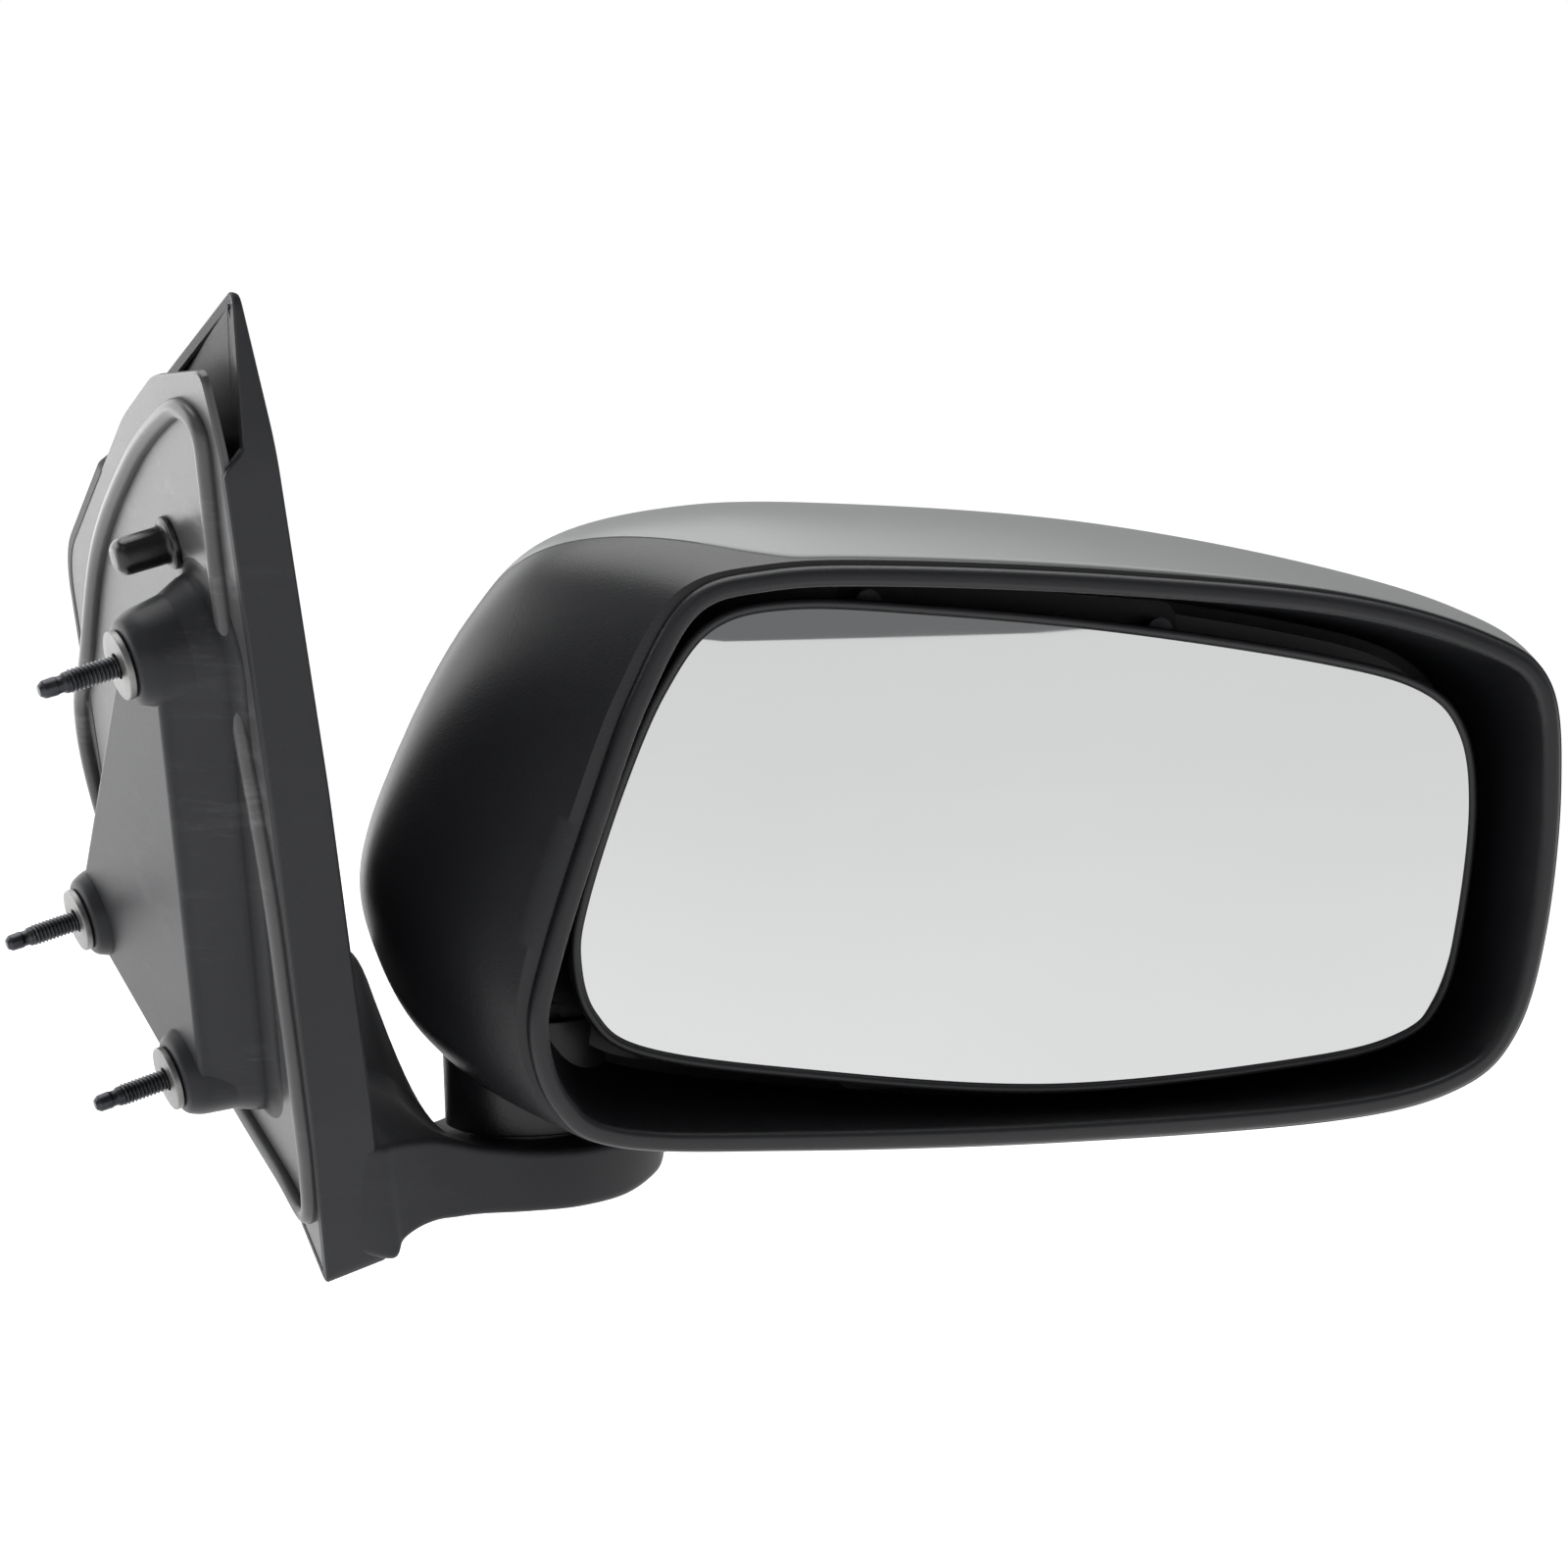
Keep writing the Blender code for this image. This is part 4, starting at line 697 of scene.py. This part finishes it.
def makeStuds():
    # helical thread: the radius follows a triangle wave of height less turn
    cols = 48
    a = np.arange(cols) * 2 * pi / cols
    z = np.arange(stud["start"], stud["end"], stud["pitch"] / 10)
    phase = (z[:, None] / stud["pitch"] - a[None, :] / (2 * pi)) % 1.0
    tooth = np.clip(1.25 * (1 - np.abs(2 * phase - 1)) - 0.12, 0, 1)
    fade = np.clip(np.minimum(z - stud["start"], stud["end"] - z) / 0.0009, 0, 1)[:, None]
    radius = stud["radius"] - stud["threadDepth"] + stud["threadDepth"] * (tooth * fade + 0.25 * (1 - fade))
    thread = np.stack([radius * np.cos(a), radius * np.sin(a), np.broadcast_to(z[:, None], radius.shape)], -1)
    core = stud["radius"] - stud["threadDepth"] * 0.75
    end, tip = stud["end"], stud["reach"]
    tail = turned(softProfile([(core, end), (core, end + 0.0006), (0.00195, end + 0.0012),
                               (0.00195, end + 0.0022), (0.00215, end + 0.0027), (0.00205, tip - 0.0011),
                               (0.00125, tip), (0.0, tip)], 0.0002), cols)
    root = turned([(0.0, -0.010), (core, -0.010), (core, stud["start"])], cols)
    grid = np.concatenate([root, thread, tail])
    low, high, outer = stud["washerLow"], stud["washerHigh"], stud["washerRadius"]
    hole = stud["radius"] + 0.0003
    ring = softProfile([(hole, (low + high) / 2), (hole, high), (outer, high), (outer, low), (hole, low),
                        (hole, (low + high) / 2)], 0.00035, 4)[:-1]
    for name, (y, z) in zip(stud["names"], stud["places"]):
        rod, washer = (baseToWorld(pointed(g, (-1, 0, 0), (0, y, z))) for g in (grid, turned(ring, 72)))
        surface(name + "Stud", [(rod, False, True)], finishes["black_steel"], "base",
                ["stud_" + name], 50)
        surface(name + "Washer", [(washer, True, True)], finishes["zinc_plated_steel"], "base",
                ["washer_" + name], 40)


peg = dict(place=(-0.047, 0.077), radius=0.0045, reach=0.014, flange=0.0064)


def makePeg():
    # blunt peg of rounded square section on a thin round flange
    a = np.arange(64) * 2 * pi / 64
    square = (np.abs(np.cos(a)) ** 3.4 + np.abs(np.sin(a)) ** 3.4) ** (-1 / 3.4)
    radius, reach, flange = peg["radius"], peg["reach"], peg["flange"]
    profile = softProfile([(0.0, -0.001), (flange, -0.001), (flange, 0.0013), (radius, 0.0019),
                           (radius * 0.97, reach - 0.0016), (radius * 0.62, reach), (0.0, reach)], 0.0009, 5)
    shaped = np.where(profile[:, 1:] > 0.0016, square[None, :], 1.0)
    around = profile[:, :1] * (1 + (shaped - 1) * 0.55) * 0.98
    grid = np.stack([around * np.cos(a), around * np.sin(a), np.repeat(profile[:, 1:], 64, 1)], -1)
    y, z = peg["place"]
    grid = baseToWorld(pointed(grid, (-1, 0, 0), (base["sheetX"], y, z)))
    surface("locatingPeg", [(grid, False, True)], pegPlastic, "base", ["locating_peg"], 40)


makeBaseCover()
makeGasket()
makeBead()
makePedestal()
makeStuds()
makePeg()
print("base done")

studio = dict(floorHeight=-0.30, floorSize=40.0, sunPower=2.5, sunAngle=60.0, fill=0.24, lift=0.18)
floorMesh = bpy.data.meshes.new("floor")
size, low = studio["floorSize"], studio["floorHeight"]
floorMesh.from_pydata([(-size, -size, low), (size, -size, low), (size, size, low), (-size, size, low)], [],
                      [(0, 1, 2, 3)])
floorPaint = Paint("paleFloor", Roughness=0.9, Emission_Color=(1, 1, 1, 1),
                   Emission_Strength=studio["lift"])
floorTone = floorPaint.mix(floorPaint.noise(3, 3), (0.90, 0.90, 0.90), (0.92, 0.92, 0.92))
floorMesh.materials.append(floorPaint.finish(Base_Color=floorTone))
floor = bpy.data.objects.new("floor", floorMesh)
bpy.context.scene.collection.objects.link(floor)

world = bpy.data.worlds.new("studio")
world.use_nodes = True
bpy.context.scene.world = world
tree = world.node_tree
rays = tree.nodes.new("ShaderNodeLightPath")
seen = tree.nodes.new("ShaderNodeBackground")
seen.inputs["Color"].default_value = (1, 1, 1, 1)
seen.inputs["Strength"].default_value = 1.0
soft = tree.nodes.new("ShaderNodeBackground")
soft.inputs["Color"].default_value = (0.97, 0.98, 1.0, 1)
soft.inputs["Strength"].default_value = studio["fill"]
choose = tree.nodes.new("ShaderNodeMixShader")
tree.links.new(rays.outputs["Is Camera Ray"], choose.inputs[0])
tree.links.new(soft.outputs[0], choose.inputs[1])
tree.links.new(seen.outputs[0], choose.inputs[2])
tree.links.new(choose.outputs[0], tree.nodes["World Output"].inputs["Surface"])


def lamp(name, kind, place, target, power, size, colour=(1, 1, 1)):
    light = bpy.data.lights.new(name, kind)
    light.energy = power
    light.color = colour
    if kind == "AREA":
        light.shape, light.size, light.size_y = "RECTANGLE", size[0], size[1]
    else:
        light.angle = radians(size)
    rig = bpy.data.objects.new(name, light)
    rig.visible_camera = False
    rig.location = place
    rig.rotation_mode = "QUATERNION"
    rig.rotation_quaternion = (Vector(target) - Vector(place)).to_track_quat("-Z", "Y")
    bpy.context.scene.collection.objects.link(rig)


lamp("sun", "SUN", (0.3, 0.6, 2.0), (0.15, 0.0, 0.0), studio["sunPower"], studio["sunAngle"])
lamp("leftBox", "AREA", (-1.5, 0.75, 0.45), (0.05, 0.0, 0.0), 14.0, (1.2, 1.5))
lamp("backBox", "AREA", (-0.7, 1.7, 0.5), (0.15, 0.0, 0.0), 24.0, (2.2, 1.6))
lamp("frontBox", "AREA", (-0.9, -1.2, 1.0), (0.1, 0.0, 0.0), 1.2, (0.9, 0.7))

camera = bpy.data.objects.new("camera", bpy.data.cameras.new("camera"))
camera.data.lens = 85.8
camera.data.sensor_width = 36.0
camera.data.clip_start, camera.data.clip_end = 0.05, 200.0
camera.location = (-0.2549, -0.8656, 0.1280)
camera.rotation_mode = "QUATERNION"
turn, tilt = radians(26.5), radians(7.0)
facing = Vector((sin(turn) * cos(tilt), cos(turn) * cos(tilt), -sin(tilt)))
camera.rotation_quaternion = facing.to_track_quat("-Z", "Y")
bpy.context.scene.collection.objects.link(camera)
bpy.context.scene.camera = camera
bpy.context.scene.view_settings.view_transform = "Standard"
print("stage done")
